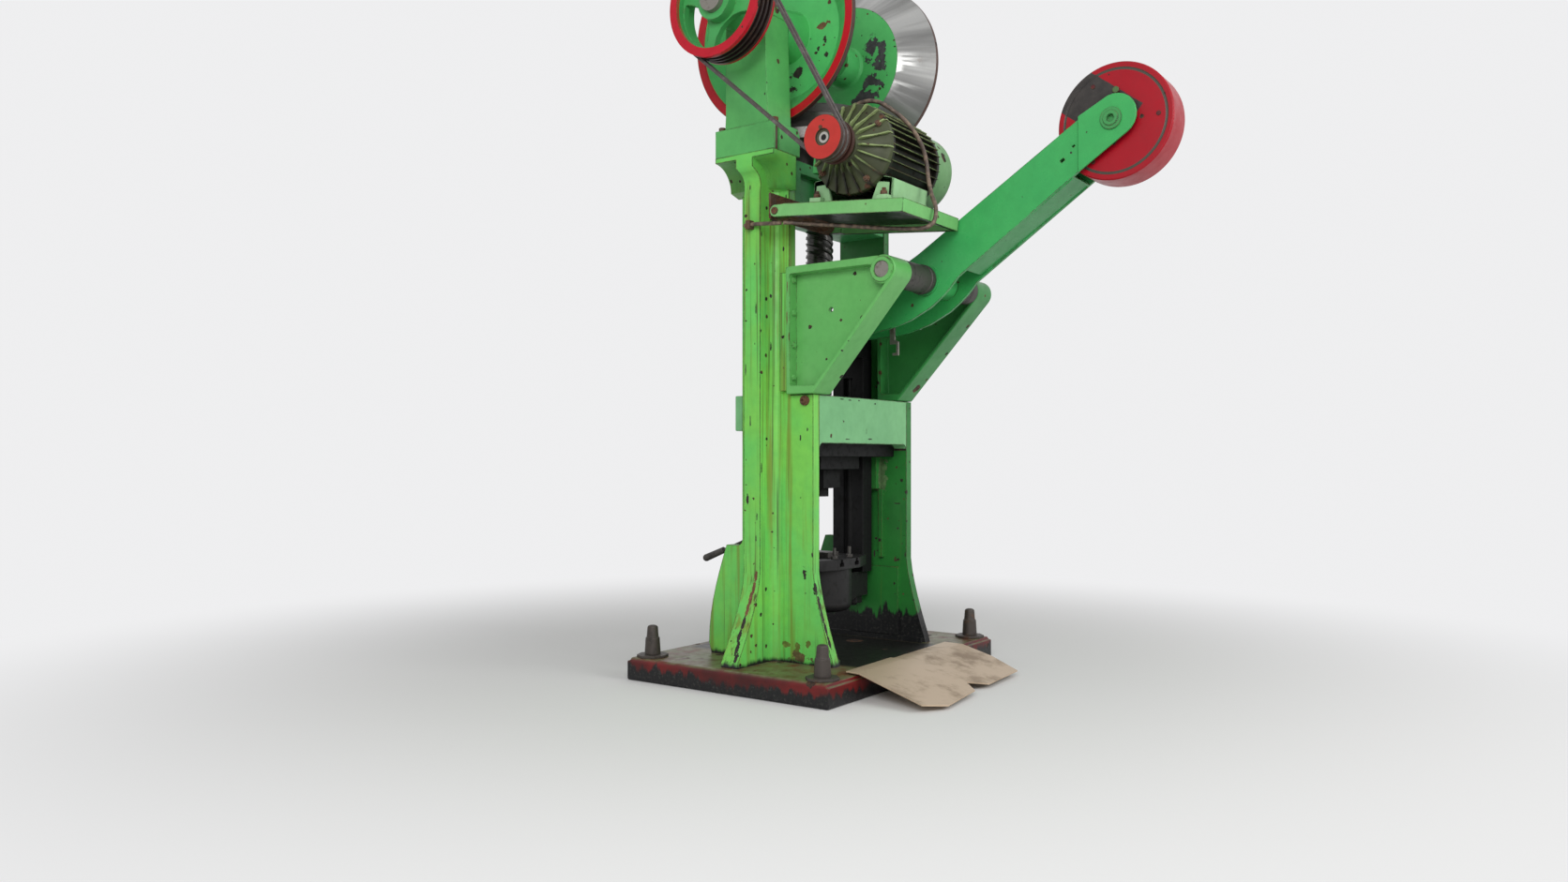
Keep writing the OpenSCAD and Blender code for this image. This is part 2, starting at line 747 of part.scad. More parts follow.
// Polished ring on the cone's working face, drawn on the right
module cone_face() {
    face_t = 10;
    turned_x(0, shaft_z)
        polygon([[cone_small_r, cone_in], [cone_r, cone_out], [cone_r - face_t / cone_slope - 1.9, cone_out],
            [cone_small_r - 1.9, cone_in + face_t - 0.1], [cone_small_r - 1.9, cone_in]]);
}

module cone_faces() {
    color(steel) pair() cone_face();
}

// Flywheel radius at a height, parallel to the cones with the idle gap
function wheel_radius(z) = cone_in - cone_gap + (shaft_z - cone_small_r - z) * cone_slope;

module flywheel() {
    top = shaft_z - cone_small_r - 2;
    lip = shaft_z - cone_small_r - (wheel_r - cone_in + cone_gap) / cone_slope;
    band_low = top - 62;
    color(steel) turned_z()
        polygon([[journal_d / 2 - 14 + run, frame_top + 40], [110, frame_top + 40], [116, wheel_z + 40],
            [wheel_r - 90, wheel_z + 52], [wheel_r - 62, wheel_z], [wheel_r, wheel_z], [wheel_r, lip],
            [wheel_radius(band_low), band_low],
            [wheel_radius(band_low) - 16, band_low], [wheel_radius(top) - 16, top],
            [wheel_radius(top) - 60, top], [wheel_radius(top) - 66, top - 70], [96, top - 76],
            [90, top + 4], [journal_d / 2 - 14 + run, top + 4]]);
}

module friction_band() {
    top = shaft_z - cone_small_r - 2;
    band_low = top - 62;
    color(rust) turned_z()
        polygon([[wheel_radius(band_low), band_low], [wheel_radius(top), top],
            [wheel_radius(top) - 16, top], [wheel_radius(band_low) - 16, band_low]]);
}

module screw() {
    end = apron_top + 24;
    collar = 38;
    top = shaft_z - cone_small_r + 40;
    color(dark) turned_z()
        polygon([[0, end], [screw_d / 2 - 8, end], [screw_d / 2, end + 8],
            [screw_d / 2, crown_z - collar - 14],
            [journal_d / 2, crown_z - collar - 10], [journal_d / 2 + 34, crown_z - collar],
            [journal_d / 2 + 34, crown_z - seam], [journal_d / 2, crown_z - seam],
            [journal_d / 2, frame_top + 39], [journal_d / 2 - 14, frame_top + 39],
            [journal_d / 2 - 14, top - 6], [journal_d / 2 - 20, top], [0, top]]);
}

module screw_cap() {
    z = shaft_z - cone_small_r + 2;
    color(rust) difference() {
        translate([0, 0, z]) cylinder(h = 30, r = 76, $fn = 8);
        translate([0, 0, z - 1]) cylinder(h = 32, r = journal_d / 2 - 14 + run, $fn = 64);
    }
}

module yoke_crosshead() {
    reach = tie_x + tie_w / 2;
    lug_y = head_l / 2;
    color(green) difference() {
        union() {
            along_y(-head_l / 2, head_l / 2)
                polygon([[-reach, head_z], [reach, head_z], [reach, head_z + head_h * 0.62],
                    [reach - 96, head_z + head_h * 0.62], [130, head_z + head_h], [-130, head_z + head_h],
                    [-reach + 96, head_z + head_h * 0.62], [-reach, head_z + head_h * 0.62]]);
            along_x(-56, 56)
                polygon([[-lug_y + 1, roller_z + roller_r + seam],
                    [-lug_y - 130, roller_z + roller_r + seam],
                    [-lug_y - 130, roller_z + roller_r + 24], [-lug_y + 1, head_z + head_h - 4]]);
        }
        translate([0, 0, head_z - 1]) cylinder(h = head_h + 2, d = screw_d + 50, $fn = 96);
        for (x = [-1, 1])
            translate([x * tie_x, 0, head_z - 1]) cylinder(h = head_h, d = 47, $fn = 48);
    }
}

module screw_nut() {
    flange = 22;
    color(bronze) difference() {
        union() {
            translate([0, 0, head_z - flange]) cylinder(h = flange, d = screw_d + 96, $fn = 96);
            translate([0, 0, head_z - flange])
                cylinder(h = head_h + flange - 4, d = screw_d + 49.9, $fn = 96);
        }
        translate([0, 0, head_z - flange - 1]) cylinder(h = head_h + 60, d = screw_d + 2 * run, $fn = 96);
    }
}

// Tie bar with grooved front and rear faces, drawn on the left
module tie_bar() {
    low = table_z - table_t - 40;
    groove = 26;
    difference() {
        translate([-tie_x - tie_w / 2, -tie_l / 2, low]) cube([tie_w, tie_l, head_z - low]);
        for (s = [-1, 1])
            translate([-tie_x + (s > 0 ? tie_w / 2 - 22 : -tie_w / 2 - 1), -groove, low + 60])
                cube([23, 2 * groove, head_z - low - 160]);
        translate([-tie_x, 0, low - 1]) cylinder(h = head_z, d = 46.2, $fn = 48);
    }
}

module tie_bars() {
    color("#5c6658") pair() tie_bar();
}

module tie_rods() {
    low = table_z - table_t - 40 - 120;
    high = head_z + head_h * 0.62;
    color(rust) pair()
        translate([-tie_x, 0, 0]) {
            translate([0, 0, low - 52]) cylinder(h = high - low + 120, d = 46, $fn = 48);
            translate([0, 0, low - 40 - seam]) hex(84, 40);
            translate([0, 0, high + seam]) hex(84, 42);
        }
}

module lower_beam() {
    reach = tie_x + tie_w / 2;
    top = table_z - table_t - 40;
    round_r = 40;
    color(dark) difference() {
        union() {
            along_y(-62, 62)
                polygon([[-reach, top - 120], [-reach + 98, top - 120], [-anvil_r + 10, top - 150],
                    [anvil_r - 10, top - 150], [reach - 98, top - 120], [reach, top - 120], [reach, top],
                    [-reach, top]]);
            turned_z()
                polygon(concat([[0, top - 164], [anvil_r - round_r, top - 164]],
                    arc(anvil_r - round_r, top - 164 + round_r, round_r, -90, 0, 6),
                    [[anvil_r, table_z - table_t], [0, table_z - table_t]]));
        }
        for (x = [-1, 1])
            translate([x * tie_x, 0, 0]) cylinder(h = head_z, d = 46.2, $fn = 48);
    }
}

module table_plate() {
    side = tie_x - tie_w / 2 - 8;
    slot = 18;
    color(rust) difference() {
        translate([0, 0, table_z - table_t]) linear_extrude(table_t)
            polygon([[-side, -112], [-90, -172], [90, -172], [side, -112],
                [side, 112], [90, 172], [-90, 172], [-side, 112]]);
        for (x = [-1, 1]) {
            translate([x * 66 - slot / 2, -180, table_z - 30]) cube([slot, 360, 31]);
            translate([x * 66 - slot, -180, table_z - 34]) cube([2 * slot, 360, 16]);
        }
    }
}

module table_bolts() {
    color(rust) {
        for (x = [-1, 1], y = [-1, 1])
            translate([x * 66, y * 128, 0]) {
                translate([0, 0, table_z - 33]) cylinder(h = 84, d = 16, $fn = 32);
                translate([0, 0, table_z + seam]) hex(28, 14);
                translate([0, 0, table_z - 33.5]) hex(28, 12);
            }
        translate([-46, -80, table_z + seam]) cube([92, 160, 26]);
        translate([-150, -34, table_z + seam]) cube([96, 68, 46]);
    }
}

// Point on the lever: s along it from the pivot, o square to it and upwards
function on_lever(s, o) = [-pivot_y - s * cos(lever_angle) + o * sin(lever_angle),
    pivot_z + s * sin(lever_angle) + o * cos(lever_angle)];

// Outline of a lever side plate in Y and Z, from its outer end round the roller and back
function lever_outline() =
    let (r = roller_r + 8, bottom = roller_z - r)
    concat([on_lever(lever_reach - 95, lever_up - 21), on_lever(40, lever_up)],
        [[-pivot_y + 82, pivot_z + 93], [-pivot_y + 146, pivot_z + 50], [-roller_y - 228, roller_z + 152],
            [-roller_y - 148, roller_z + 87], [-roller_y - 83, roller_z + 49]],
        arc(-roller_y, roller_z, r - 12, 80, -80, 8),
        [[-roller_y - 30, bottom], [-roller_y - 193, bottom + 8], [-roller_y - 258, bottom + 17],
            [-roller_y - 318, bottom + 31], [-roller_y - 381, bottom + 50], [-pivot_y - 29, pivot_z - 119],
            [-pivot_y - 76, pivot_z - 83], [-pivot_y - 119, pivot_z - 44]],
        [on_lever(134, -lever_low), on_lever(box_end + 26, -lever_low + 10)]);

module lever_arm() {
    top = lever_up - 21;
    low = lever_low - 10;
    color(green) difference() {
        union() {
            pair() along_x(-lever_w / 2, -lever_w / 2 + lever_t) polygon(lever_outline());
            along_x(-lever_w / 2 + lever_t - 1, lever_w / 2 - lever_t + 1) {
                polygon([on_lever(120, top), on_lever(box_end, top), on_lever(box_end, top - lever_t),
                    on_lever(120, top - lever_t)]);
                polygon([on_lever(170, -low), on_lever(box_end, -low), on_lever(box_end, lever_t - low),
                    on_lever(170, lever_t - low)]);
                polygon([on_lever(box_end - 34, top), on_lever(box_end - 34, -low),
                    on_lever(box_end - 34 - lever_t, -low), on_lever(box_end - 34 - lever_t, top)]);
            }
            bar_x(-lever_w / 2 - 8, lever_w / 2 + 8, -pivot_y, pivot_z, 68);
        }
        bar_x(-lever_w, lever_w, -pivot_y, pivot_z, pivot_d / 2 + run);
        bar_x(-lever_w, lever_w, -roller_y, roller_z, 14 + run);
        along_x(-lever_w, 0) for (h = [[box_end + 2, 6, 12], [box_end + 70, 22, 8]])
            translate(on_lever(h[0], h[1]))
                rotate([0, 0, -lever_angle]) square([h[2] * 1.5, h[2]], center = true);
        bar_x(-lever_w, lever_w, on_lever(lever_reach, 0)[0], on_lever(lever_reach, 0)[1], 24 + run);
    }
}

// Straps that carry the balance wheel's pin outside the lever's plates
module lever_fork() {
    end = arc(0, 0, 88, 90, -90, 12);
    color(green) difference() {
        pair() along_x(-lever_w / 2 - 14, -lever_w / 2 - seam)
            polygon(concat([on_lever(lever_reach - 96, lever_up - 14)],
                [for (q = end) on_lever(lever_reach + 16 + q[0], 2 + q[1])],
                [on_lever(lever_reach - 222, 3 - lever_low)]));
        bar_x(-lever_w, lever_w, on_lever(lever_reach, 0)[0], on_lever(lever_reach, 0)[1], 24 + run);
    }
}

// Small hooked strap under the lever
module lever_catch() {
    y = -roller_y - 186;
    x = lever_w / 2 - lever_t - seam;
    color(steel) along_x(x - 10, x)
        polygon([[y + 12, 1650], [y - 14, 1650], [y - 14, 1555], [y - 34, 1545], [y - 34, 1482],
            [y - 2, 1482], [y - 2, 1494], [y - 22, 1494], [y - 22, 1535], [y + 12, 1535]]);
}

module lever_collars() {
    inner = lever_w / 2 + 8 + seam;
    color(dark) difference() {
        union() {
            bar_x(bracket_flange - left_bracket_out + seam, -inner, -pivot_y, pivot_z, 61);
            bar_x(-inner - 40, -inner - 12, -pivot_y, pivot_z, 65);
            bar_x(inner, right_bracket_out - bracket_flange - seam, -pivot_y, pivot_z, 61);
            bar_x(inner + 12, inner + 40, -pivot_y, pivot_z, 65);
        }
        bar_x(-500, 500, -pivot_y, pivot_z, pivot_d / 2 + run);
    }
}

module balance_wheel() {
    at = on_lever(lever_reach, 0);
    r = weight_r;
    w = weight_w / 2;
    color(red) turned_x(at[0], at[1])
        polygon([[24 + run, -w], [r - 32, -w], [r - 30, -w + 3], [r - 25, -w + 3], [r - 23, -w], [r - 5, -w],
            [r, -w + 5], [r, w - 5], [r - 5, w], [r - 23, w], [r - 25, w - 3], [r - 30, w - 3], [r - 32, w],
            [24 + run, w]]);
}

// Flush plugs and one hexagon stub on the balance wheel's face
module wheel_pin() {
    at = on_lever(lever_reach, 0);
    out = lever_w / 2 + 14 + seam;
    color(green) {
        for (a = [60, 180, 300])
            bar_x(-weight_w / 2 - 3, -weight_w / 2 - 0.05, at[0] + 175 * cos(a), at[1] + 175 * sin(a), 9);
        translate([-weight_w / 2 - 0.05, at[0] - 9, at[1] + 119]) rotate([0, -90, 0]) hex(26, 16);
    }
    color(green) difference() {
        union() {
            bar_x(-out - 8, out + 8, at[0], at[1], 24);
            bar_x(-out - 8, -out, at[0], at[1], 44);
            bar_x(out, out + 8, at[0], at[1], 44);
            bar_x(-out - 14, -out - 7, at[0], at[1], 30);
        }
        bar_x(-out - 20, -out + 6, at[0], at[1], 15);
    }
}

module lever_roller() {
    w = lever_w / 2 - lever_t - 12;
    color(steel) {
        bar_x(-w, w, -roller_y, roller_z, roller_r);
        bar_x(-lever_w / 2 - 10, lever_w / 2 + 10, -roller_y, roller_z, 14);
    }
}

// Places what is drawn on a level plate: the hinge axis is the local origin in Y and Z
module on_plate() {
    translate([0, -hinge_y, hinge_z]) rotate([plate_tilt, 0, 0]) children();
}

// Motor shaft in the plate's own frame
motor_ly = (hinge_y - motor_y) * cos(plate_tilt) + (motor_z - hinge_z) * sin(plate_tilt);
motor_lz = (motor_y - hinge_y) * sin(plate_tilt) + (motor_z - hinge_z) * cos(plate_tilt);
plate_top = motor_lz - motor_h;

module motor_plate() {
    rim = 55;
    t = 20;
    x1 = plate_x + plate_w;
    color(mint) on_plate() difference() {
        union() {
            translate([plate_x, -plate_l, plate_top - t]) cube([plate_w, plate_l - 40, t]);
            for (x = [plate_x, x1 - 18])
                translate([x, -plate_l, plate_top - rim]) cube([18, plate_l - 40, rim - 1]);
            translate([plate_x, -plate_l, plate_top - rim]) cube([plate_w, 18, rim - 1]);
            for (x = [plate_x, x1 - 46])
                along_x(x, x + 34)
                    polygon(concat([[-60, plate_top]], arc(0, 0, hinge_d / 2 + 11, 80, -90, 8),
                        [[-60, plate_top - rim]]));
        }
        bar_x(plate_x - 1, x1 + 1, 0, 0, hinge_d / 2 + run);
    }
}

// Cross-section of the stator with its fins
function fin_ring(core, tip, count, half) =
    [for (i = [0:count - 1], k = [0:3])
        let (a = 360 * i / count, r = (k == 1 || k == 2) ? tip : core, s = k < 2 ? -1 : 1,
            spread = asin(half / r))
        [r * cos(a + s * spread), r * sin(a + s * spread)]];

stator_x0 = -560;
stator_x1 = -165;
cover_x1 = -2;
bell_x0 = -660;

module motor_stator() {
    core = motor_r - 26;
    foot_x0 = stator_x0 + 1;
    foot_l = 295;
    foot_out = 190;
    color("#8f9b4a") on_plate() translate([0, motor_ly, motor_lz]) {
        difference() {
            union() {
                along_x(stator_x0, stator_x1) polygon(fin_ring(core, motor_r, fins, 3.2));
                for (s = [-1, 1]) {
                    along_x(foot_x0, foot_x0 + foot_l)
                        polygon([[s * foot_out, 0.3 - motor_h], [s * foot_out, 92 - motor_h],
                            [s * 128, 104 - motor_h], [s * 118, 76 - motor_h],
                            [s * (foot_out - 16), 70 - motor_h],
                            [s * (foot_out - 16), 0.3 - motor_h]]);
                    for (x = [foot_x0, foot_x0 + foot_l - 14])
                        along_x(x, x + 14)
                            polygon([[s * foot_out, 0.3 - motor_h], [s * foot_out, 92 - motor_h],
                                [s * 128, 104 - motor_h], [s * 96, 0.3 - motor_h]]);
                    translate([foot_x0 - 30, s * (foot_out - 28) - 28, 0.3 - motor_h])
                        cube([foot_l + 60, 56, 20]);
                }
            }
            bar_x(stator_x0 - 1, stator_x1 + 1, 0, 0, core - 14);
        }
    }
}

module motor_bell() {
    color("#8f9b4a") on_plate() translate([0, motor_ly, motor_lz]) difference() {
        union() {
            turned_x(0, 0)
                polygon([[motor_d / 2 + 6, bell_x0], [66, bell_x0], [78, bell_x0 + 18], [96, bell_x0 + 34],
                    [motor_r - 22, stator_x0 - 26], [motor_r - 4, stator_x0 - 22],
                    [motor_r - 4, stator_x0 - seam],
                    [motor_r - 60, stator_x0 - seam], [84, bell_x0 + 50], [motor_d / 2 + 6, bell_x0 + 44]]);
            for (a = [15:30:345])
                rotate([a, 0, 0]) translate([0, 0, -4])
                    rotate([90, 0, 0]) translate([0, 0, -4]) linear_extrude(8)
                        polygon([[bell_x0 + 12, 70], [bell_x0 + 8, 92], [stator_x0 - 40, motor_r - 6],
                            [stator_x0 - 10, motor_r - 6], [stator_x0 - 30, motor_r - 26]]);
        }
        bar_x(bell_x0 - 1, stator_x0, 0, 0, motor_d / 2 + 5.5);
    }
}

module fan_cover() {
    r = motor_r - 16;
    color(mint) on_plate() translate([0, motor_ly, motor_lz]) {
        difference() {
            turned_x(0, 0)
                polygon(concat([[0, stator_x1 + 60], [r - 5, stator_x1 + 60], [r - 5, stator_x1 + seam],
                    [r, stator_x1 + seam]], arc(r - 34, cover_x1 - 34, 34, 0, 90, 6), [[0, cover_x1]]));
            for (a = [0:45:315])
                rotate([a, 0, 0]) translate([cover_x1 - 20, 44, -6]) cube([30, 92, 12]);
        }
    }
}

module motor_bolts() {
    color(rust) on_plate()
        for (s = [-1, 1], x = [stator_x0 - 14, stator_x0 + 311])
            translate([x, motor_ly + s * 162, plate_top]) {
                translate([0, 0, 20 + 2 * seam]) hex(25, 16);
                translate([0, 0, 36 + seam]) cylinder(h = 12, d = 16, $fn = 32);
            }
}

module terminal_box() {
    color(green) on_plate()
        translate([-450, motor_ly + motor_r + seam, motor_lz - 55]) difference() {
            cube([150, 92, 110]);
            translate([10, 86, 10]) cube([130, 8, 90]);
        }
}

// Points along the motor's cable, Y and Z from the motor's axis
cable_route = [
    [-400, 212, 84], [-404, 214, 112], [-420, 196, 150], [-446, 150, 188], [-470, 84, 210], [-484, 4, 220],
    [-490, -62, 208], [-486, -112, 178], [-444, -156, 136], [-396, -188, 82], [-352, -205, 18],
    [-330, -210, -46], [-330, -218, -108], [-340, -236, -168], [-352, -258, -212], [-360, -268, -246],
    [-368, -266, -284], [-378, -252, -306], [-392, -210, -318], [-430, -80, -308], [-480, 98, -284],
    [-530, 248, -266], [-560, 318, -258], [-575, 350, -256]
];
cable_r = 9;

// Points of a ring on the cable
function ring(p, d, r, n) =
    let (t = d / norm(d), s0 = cross(t, [0.3, 0.2, 0.93]), s = s0 / norm(s0), v = cross(t, s))
    [for (i = [0:n - 1]) p + r * cos(360 * i / n) * s + r * sin(360 * i / n) * v];

// One tube swept along a list of points
module tube(route, r, n = 10) {
    last = len(route) - 1;
    points = [for (i = [0:last]) each ring(route[i], route[min(i + 1, last)] - route[max(i - 1, 0)], r, n)];
    sides = [for (i = [0:last - 1], k = [0:n - 1])
        [i * n + k, i * n + (k + 1) % n, (i + 1) * n + (k + 1) % n, (i + 1) * n + k]];
    polyhedron(points = points, faces = concat(
        [[for (k = [0:n - 1]) n - 1 - k]], sides, [[for (k = [0:n - 1]) last * n + k]]));
}

module motor_cable() {
    color("#6b5a48") translate([0, -motor_y, motor_z]) tube(cable_route, cable_r);
}

module motor_rotor() {
    x0 = -pulley_x + pulley_w / 2 - groove_pitch - 26;
    w = 2 * groove_pitch + 50;
    color(red) on_plate() translate([0, motor_ly, motor_lz]) {
        translate([x0, 0, 0]) difference() {
            turned_x(0, 0) polygon(concat([[motor_d / 2 - 0.01, 0]], grooved(motor_pulley_r, w, 30, 26, 3),
                [[motor_d / 2 - 0.01, w]]));
            bar_x(-1, 14, 0, 0, 34);
        }
        bar_x(x0 + 10, bell_x0 + 60, 0, 0, motor_d / 2);
    }
}

module control_lever() {
    x = -web_in + 26;
    rod = 205;
    grip = 130;
    color(dark) difference() {
        union() {
            bar_x(x - 8, x + 8, control_y, control_z, 21);
            translate([x, control_y, control_z]) rotate([-90 - control_drop, 0, 0]) {
                translate([0, 0, 14]) cylinder(h = rod - 13, r = 7, $fn = 32);
                translate([0, 0, rod]) cylinder(h = grip - 15, r1 = 15, r2 = 17, $fn = 48);
                translate([0, 0, rod + grip - 15]) sphere(r = 17, $fn = 48);
            }
        }
        bar_x(x - 20, x + 20, control_y, control_z, 9 + run);
    }
}

bed();
anchor_bolts();
left_side_frame();
right_side_frame();
front_apron();
rear_apron();
fixed_beam();
guide_gibs();
tool_holder();
crown_beam();
left_bracket();
right_bracket();
bracket_bolts();
frame_lugs();
left_pedestal();
right_pedestal();
bearing_caps();
bearing_bushes();
cap_bolts();
pivot_shaft();
hinge_bracket();
hinge_pin();
v_belts();
left_discharge_plate();
right_discharge_plate();
lever_stand();
supply_lead();
shift_sleeve();
friction_shaft();
belt_pulley();
left_cone_disc();
right_cone_disc();
cone_faces();
flywheel();
friction_band();
screw();
screw_cap();
yoke_crosshead();
screw_nut();
tie_bars();
tie_rods();
lower_beam();
table_plate();
table_bolts();
lever_arm();
lever_fork();
lever_catch();
lever_collars();
balance_wheel();
wheel_pin();
lever_roller();
motor_plate();
motor_stator();
motor_bell();
fan_cover();
motor_bolts();
terminal_box();
motor_cable();
motor_rotor();
control_lever();
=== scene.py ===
"""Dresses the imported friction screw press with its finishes, its fine shapes, its light and its camera.

Everything is in metres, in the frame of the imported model: X along the friction shaft, -Y the working front, Z up.
"""

from __future__ import annotations

import json
import logging
import math
from dataclasses import dataclass, field
from enum import Enum
from functools import cached_property
from typing import ClassVar, Sequence, Union

import bmesh
import bpy
from mathutils import Matrix, Vector

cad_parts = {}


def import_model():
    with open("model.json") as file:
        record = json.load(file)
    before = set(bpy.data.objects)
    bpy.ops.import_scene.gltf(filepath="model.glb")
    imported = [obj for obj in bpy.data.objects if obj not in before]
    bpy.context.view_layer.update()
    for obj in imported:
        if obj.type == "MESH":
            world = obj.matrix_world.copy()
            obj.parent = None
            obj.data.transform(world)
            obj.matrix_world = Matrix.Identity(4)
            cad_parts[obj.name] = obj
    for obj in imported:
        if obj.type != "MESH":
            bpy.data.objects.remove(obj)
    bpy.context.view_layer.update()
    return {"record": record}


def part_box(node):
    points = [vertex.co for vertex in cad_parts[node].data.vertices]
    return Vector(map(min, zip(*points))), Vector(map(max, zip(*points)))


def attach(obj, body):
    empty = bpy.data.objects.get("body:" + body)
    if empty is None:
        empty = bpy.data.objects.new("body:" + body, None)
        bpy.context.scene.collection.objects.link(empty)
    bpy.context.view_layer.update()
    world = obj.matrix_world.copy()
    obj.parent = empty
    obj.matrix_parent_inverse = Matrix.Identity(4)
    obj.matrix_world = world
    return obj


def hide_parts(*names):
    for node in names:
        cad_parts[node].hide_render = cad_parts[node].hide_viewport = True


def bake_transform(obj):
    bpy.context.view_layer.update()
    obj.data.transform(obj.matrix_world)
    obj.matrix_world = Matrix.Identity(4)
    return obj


LOG = logging.getLogger("press")
Color = tuple[float, float, float]
Point = tuple[float, float, float]
Value = Union[float, int, tuple, bpy.types.NodeSocket, "Num"]
Inputs = dict[Union[str, int], object]

SHAFT_Z = 2.939
MOTOR_Y, MOTOR_Z = -0.548, 2.268
PIVOT_Y, PIVOT_Z = -0.626, 1.785
LEVER_ANGLE = math.radians(34)
LEVER_REACH = 1.010
WHEEL_Y = PIVOT_Y - LEVER_REACH * math.cos(LEVER_ANGLE)
WHEEL_Z = PIVOT_Z + LEVER_REACH * math.sin(LEVER_ANGLE)


def on_lever(along: float, out: float) -> tuple[float, float]:
    """Place of a point on the balance lever.

    Args:
        along: Distance from the pivot towards the balance wheel.
        out: Distance to the lever's upper side.

    Returns:
        Y and Z of the point.
    """
    c, s = math.cos(LEVER_ANGLE), math.sin(LEVER_ANGLE)
    return PIVOT_Y - along * c + out * s, PIVOT_Z + along * s + out * c


class Axis(Enum):
    """The axis that a turned piece or a round mark is centred on."""

    X = 0
    Y = 1
    Z = 2


# --------------------------------------------------------------------------- shader graphs


class Num:
    """A value in a node tree that is reckoned with like a number."""

    def __init__(self, graph: Graph, socket: bpy.types.NodeSocket) -> None:
        """Keeps the graph and the socket that puts the value out."""
        self.graph, self.socket = graph, socket

    def __add__(self, other: Value) -> Num:
        """Adds another value."""
        return self.graph.math("ADD", self, other)

    def __sub__(self, other: Value) -> Num:
        """Takes another value away."""
        return self.graph.math("SUBTRACT", self, other)

    def __rsub__(self, other: Value) -> Num:
        """Takes this value away from a plain number."""
        return self.graph.math("SUBTRACT", other, self)

    def __mul__(self, other: Value) -> Num:
        """Multiplies by another value."""
        return self.graph.math("MULTIPLY", self, other)

    def __rtruediv__(self, other: Value) -> Num:
        """Divides a plain number by this value."""
        return self.graph.math("DIVIDE", other, self)

    def __truediv__(self, other: Value) -> Num:
        """Divides by another value."""
        return self.graph.math("DIVIDE", self, other)


class Graph:
    """Short calls for building a shader tree or a geometry tree."""

    def __init__(self, tree: bpy.types.NodeTree) -> None:
        """Starts on a tree that already exists."""
        self.tree = tree

    def fill(self, node: bpy.types.Node, inputs: Inputs) -> None:
        """Links or sets a node's inputs, given by name or number. A colour may be given as three numbers."""
        for key, value in inputs.items():
            socket = node.inputs[key]
            if isinstance(value, Num):
                self.tree.links.new(value.socket, socket)
            elif isinstance(value, bpy.types.NodeSocket):
                self.tree.links.new(value, socket)
            elif socket.type == "RGBA" and len(value) == 3:
                socket.default_value = (*value, 1.0)
            else:
                socket.default_value = value

    def node(self, kind: str, inputs: Inputs | None = None, **settings: object) -> bpy.types.Node:
        """Adds a node.

        Args:
            kind: Blender's name of the node type.
            inputs: Its inputs by name or number.
            **settings: Options of the node, by attribute name.

        Returns:
            The new node.
        """
        made = self.tree.nodes.new(kind)
        for key, value in settings.items():
            setattr(made, key, value)
        self.fill(made, inputs or {})
        return made

    def outputs(self, kind: str, inputs: Inputs | None = None, **settings: object) -> tuple[Num, ...]:
        """Adds a node and returns all its outputs in order."""
        return tuple(Num(self, socket) for socket in self.node(kind, inputs, **settings).outputs)

    def make(self, kind: str, inputs: Inputs | None = None, **settings: object) -> Num:
        """Adds a node and returns its first output."""
        return self.outputs(kind, inputs, **settings)[0]

    def math(self, operation: str, first: Value, second: Value = 0.0) -> Num:
        """Adds a Math node and returns its result."""
        return self.make("ShaderNodeMath", {0: first, 1: second}, operation=operation)

    def vector(self, operation: str, first: Value, second: Value = (0.0, 0.0, 0.0)) -> tuple[Num, ...]:
        """Adds a Vector Math node and returns its vector and its number."""
        return self.outputs("ShaderNodeVectorMath", {0: first, 1: second}, operation=operation)

    def mix(self, amount: Value, under: Value, over: Value) -> Num:
        """Lays one colour over another by an amount from 0 to 1."""
        return self.outputs("ShaderNodeMix", {0: amount, 6: under, 7: over}, data_type="RGBA", clamp_factor=True)[2]

    def rise(self, value: Value, low: Value, high: Value) -> Num:
        """Turns a value smoothly from 0 to 1 as it goes from low to high."""
        return self.make("ShaderNodeMapRange", {0: value, 1: low, 2: high, 3: 0.0, 4: 1.0},
                         interpolation_type="SMOOTHSTEP", clamp=True)

    def between(self, value: Value, low: float, high: float, soft: float) -> Num:
        """A mask that is 1 while a value lies between two limits."""
        return self.rise(value, low - soft, low + soft) * self.rise(value, high + soft, high - soft)

    def noise(self, place: Value, scale: Value, detail: float = 4.0, roughness: float = 0.6) -> Num:
        """Adds a noise texture and returns its value from 0 to 1."""
        return self.make("ShaderNodeTexNoise", {"Vector": place, "Scale": scale, "Detail": detail,
                                                "Roughness": roughness, "Distortion": 0.0})

    def cloud(self, place: Value, scale: float, detail: float, roughness: float, low: float, high: float) -> Num:
        """A noise texture whose values between low and high are spread from 0 to 1."""
        return self.rise(self.noise(place, scale, detail, roughness), low, high)

    def split(self, vector: Value) -> tuple[Num, ...]:
        """Returns the X, Y and Z of a vector."""
        return self.outputs("ShaderNodeSeparateXYZ", {0: vector})

    def join(self, x: Value, y: Value, z: Value) -> Num:
        """Makes a vector of three values."""
        return self.make("ShaderNodeCombineXYZ", {0: x, 1: y, 2: z})

    def upward(self) -> Num:
        """How far the surface faces up, from -1 to 1."""
        return self.split(self.node("ShaderNodeTexCoord").outputs["Normal"])[2]

    def bump(self, height: Value, strength: float) -> Num:
        """Turns a height in metres into a normal."""
        return self.make("ShaderNodeBump", {"Strength": strength, "Distance": 1.0, "Height": height})

    def use(self, effect: bpy.types.NodeTree, **values: Value) -> tuple[Num, ...]:
        """Places a shared effect, sets its inputs and returns its outputs."""
        return self.outputs("ShaderNodeGroup", values, node_tree=effect)


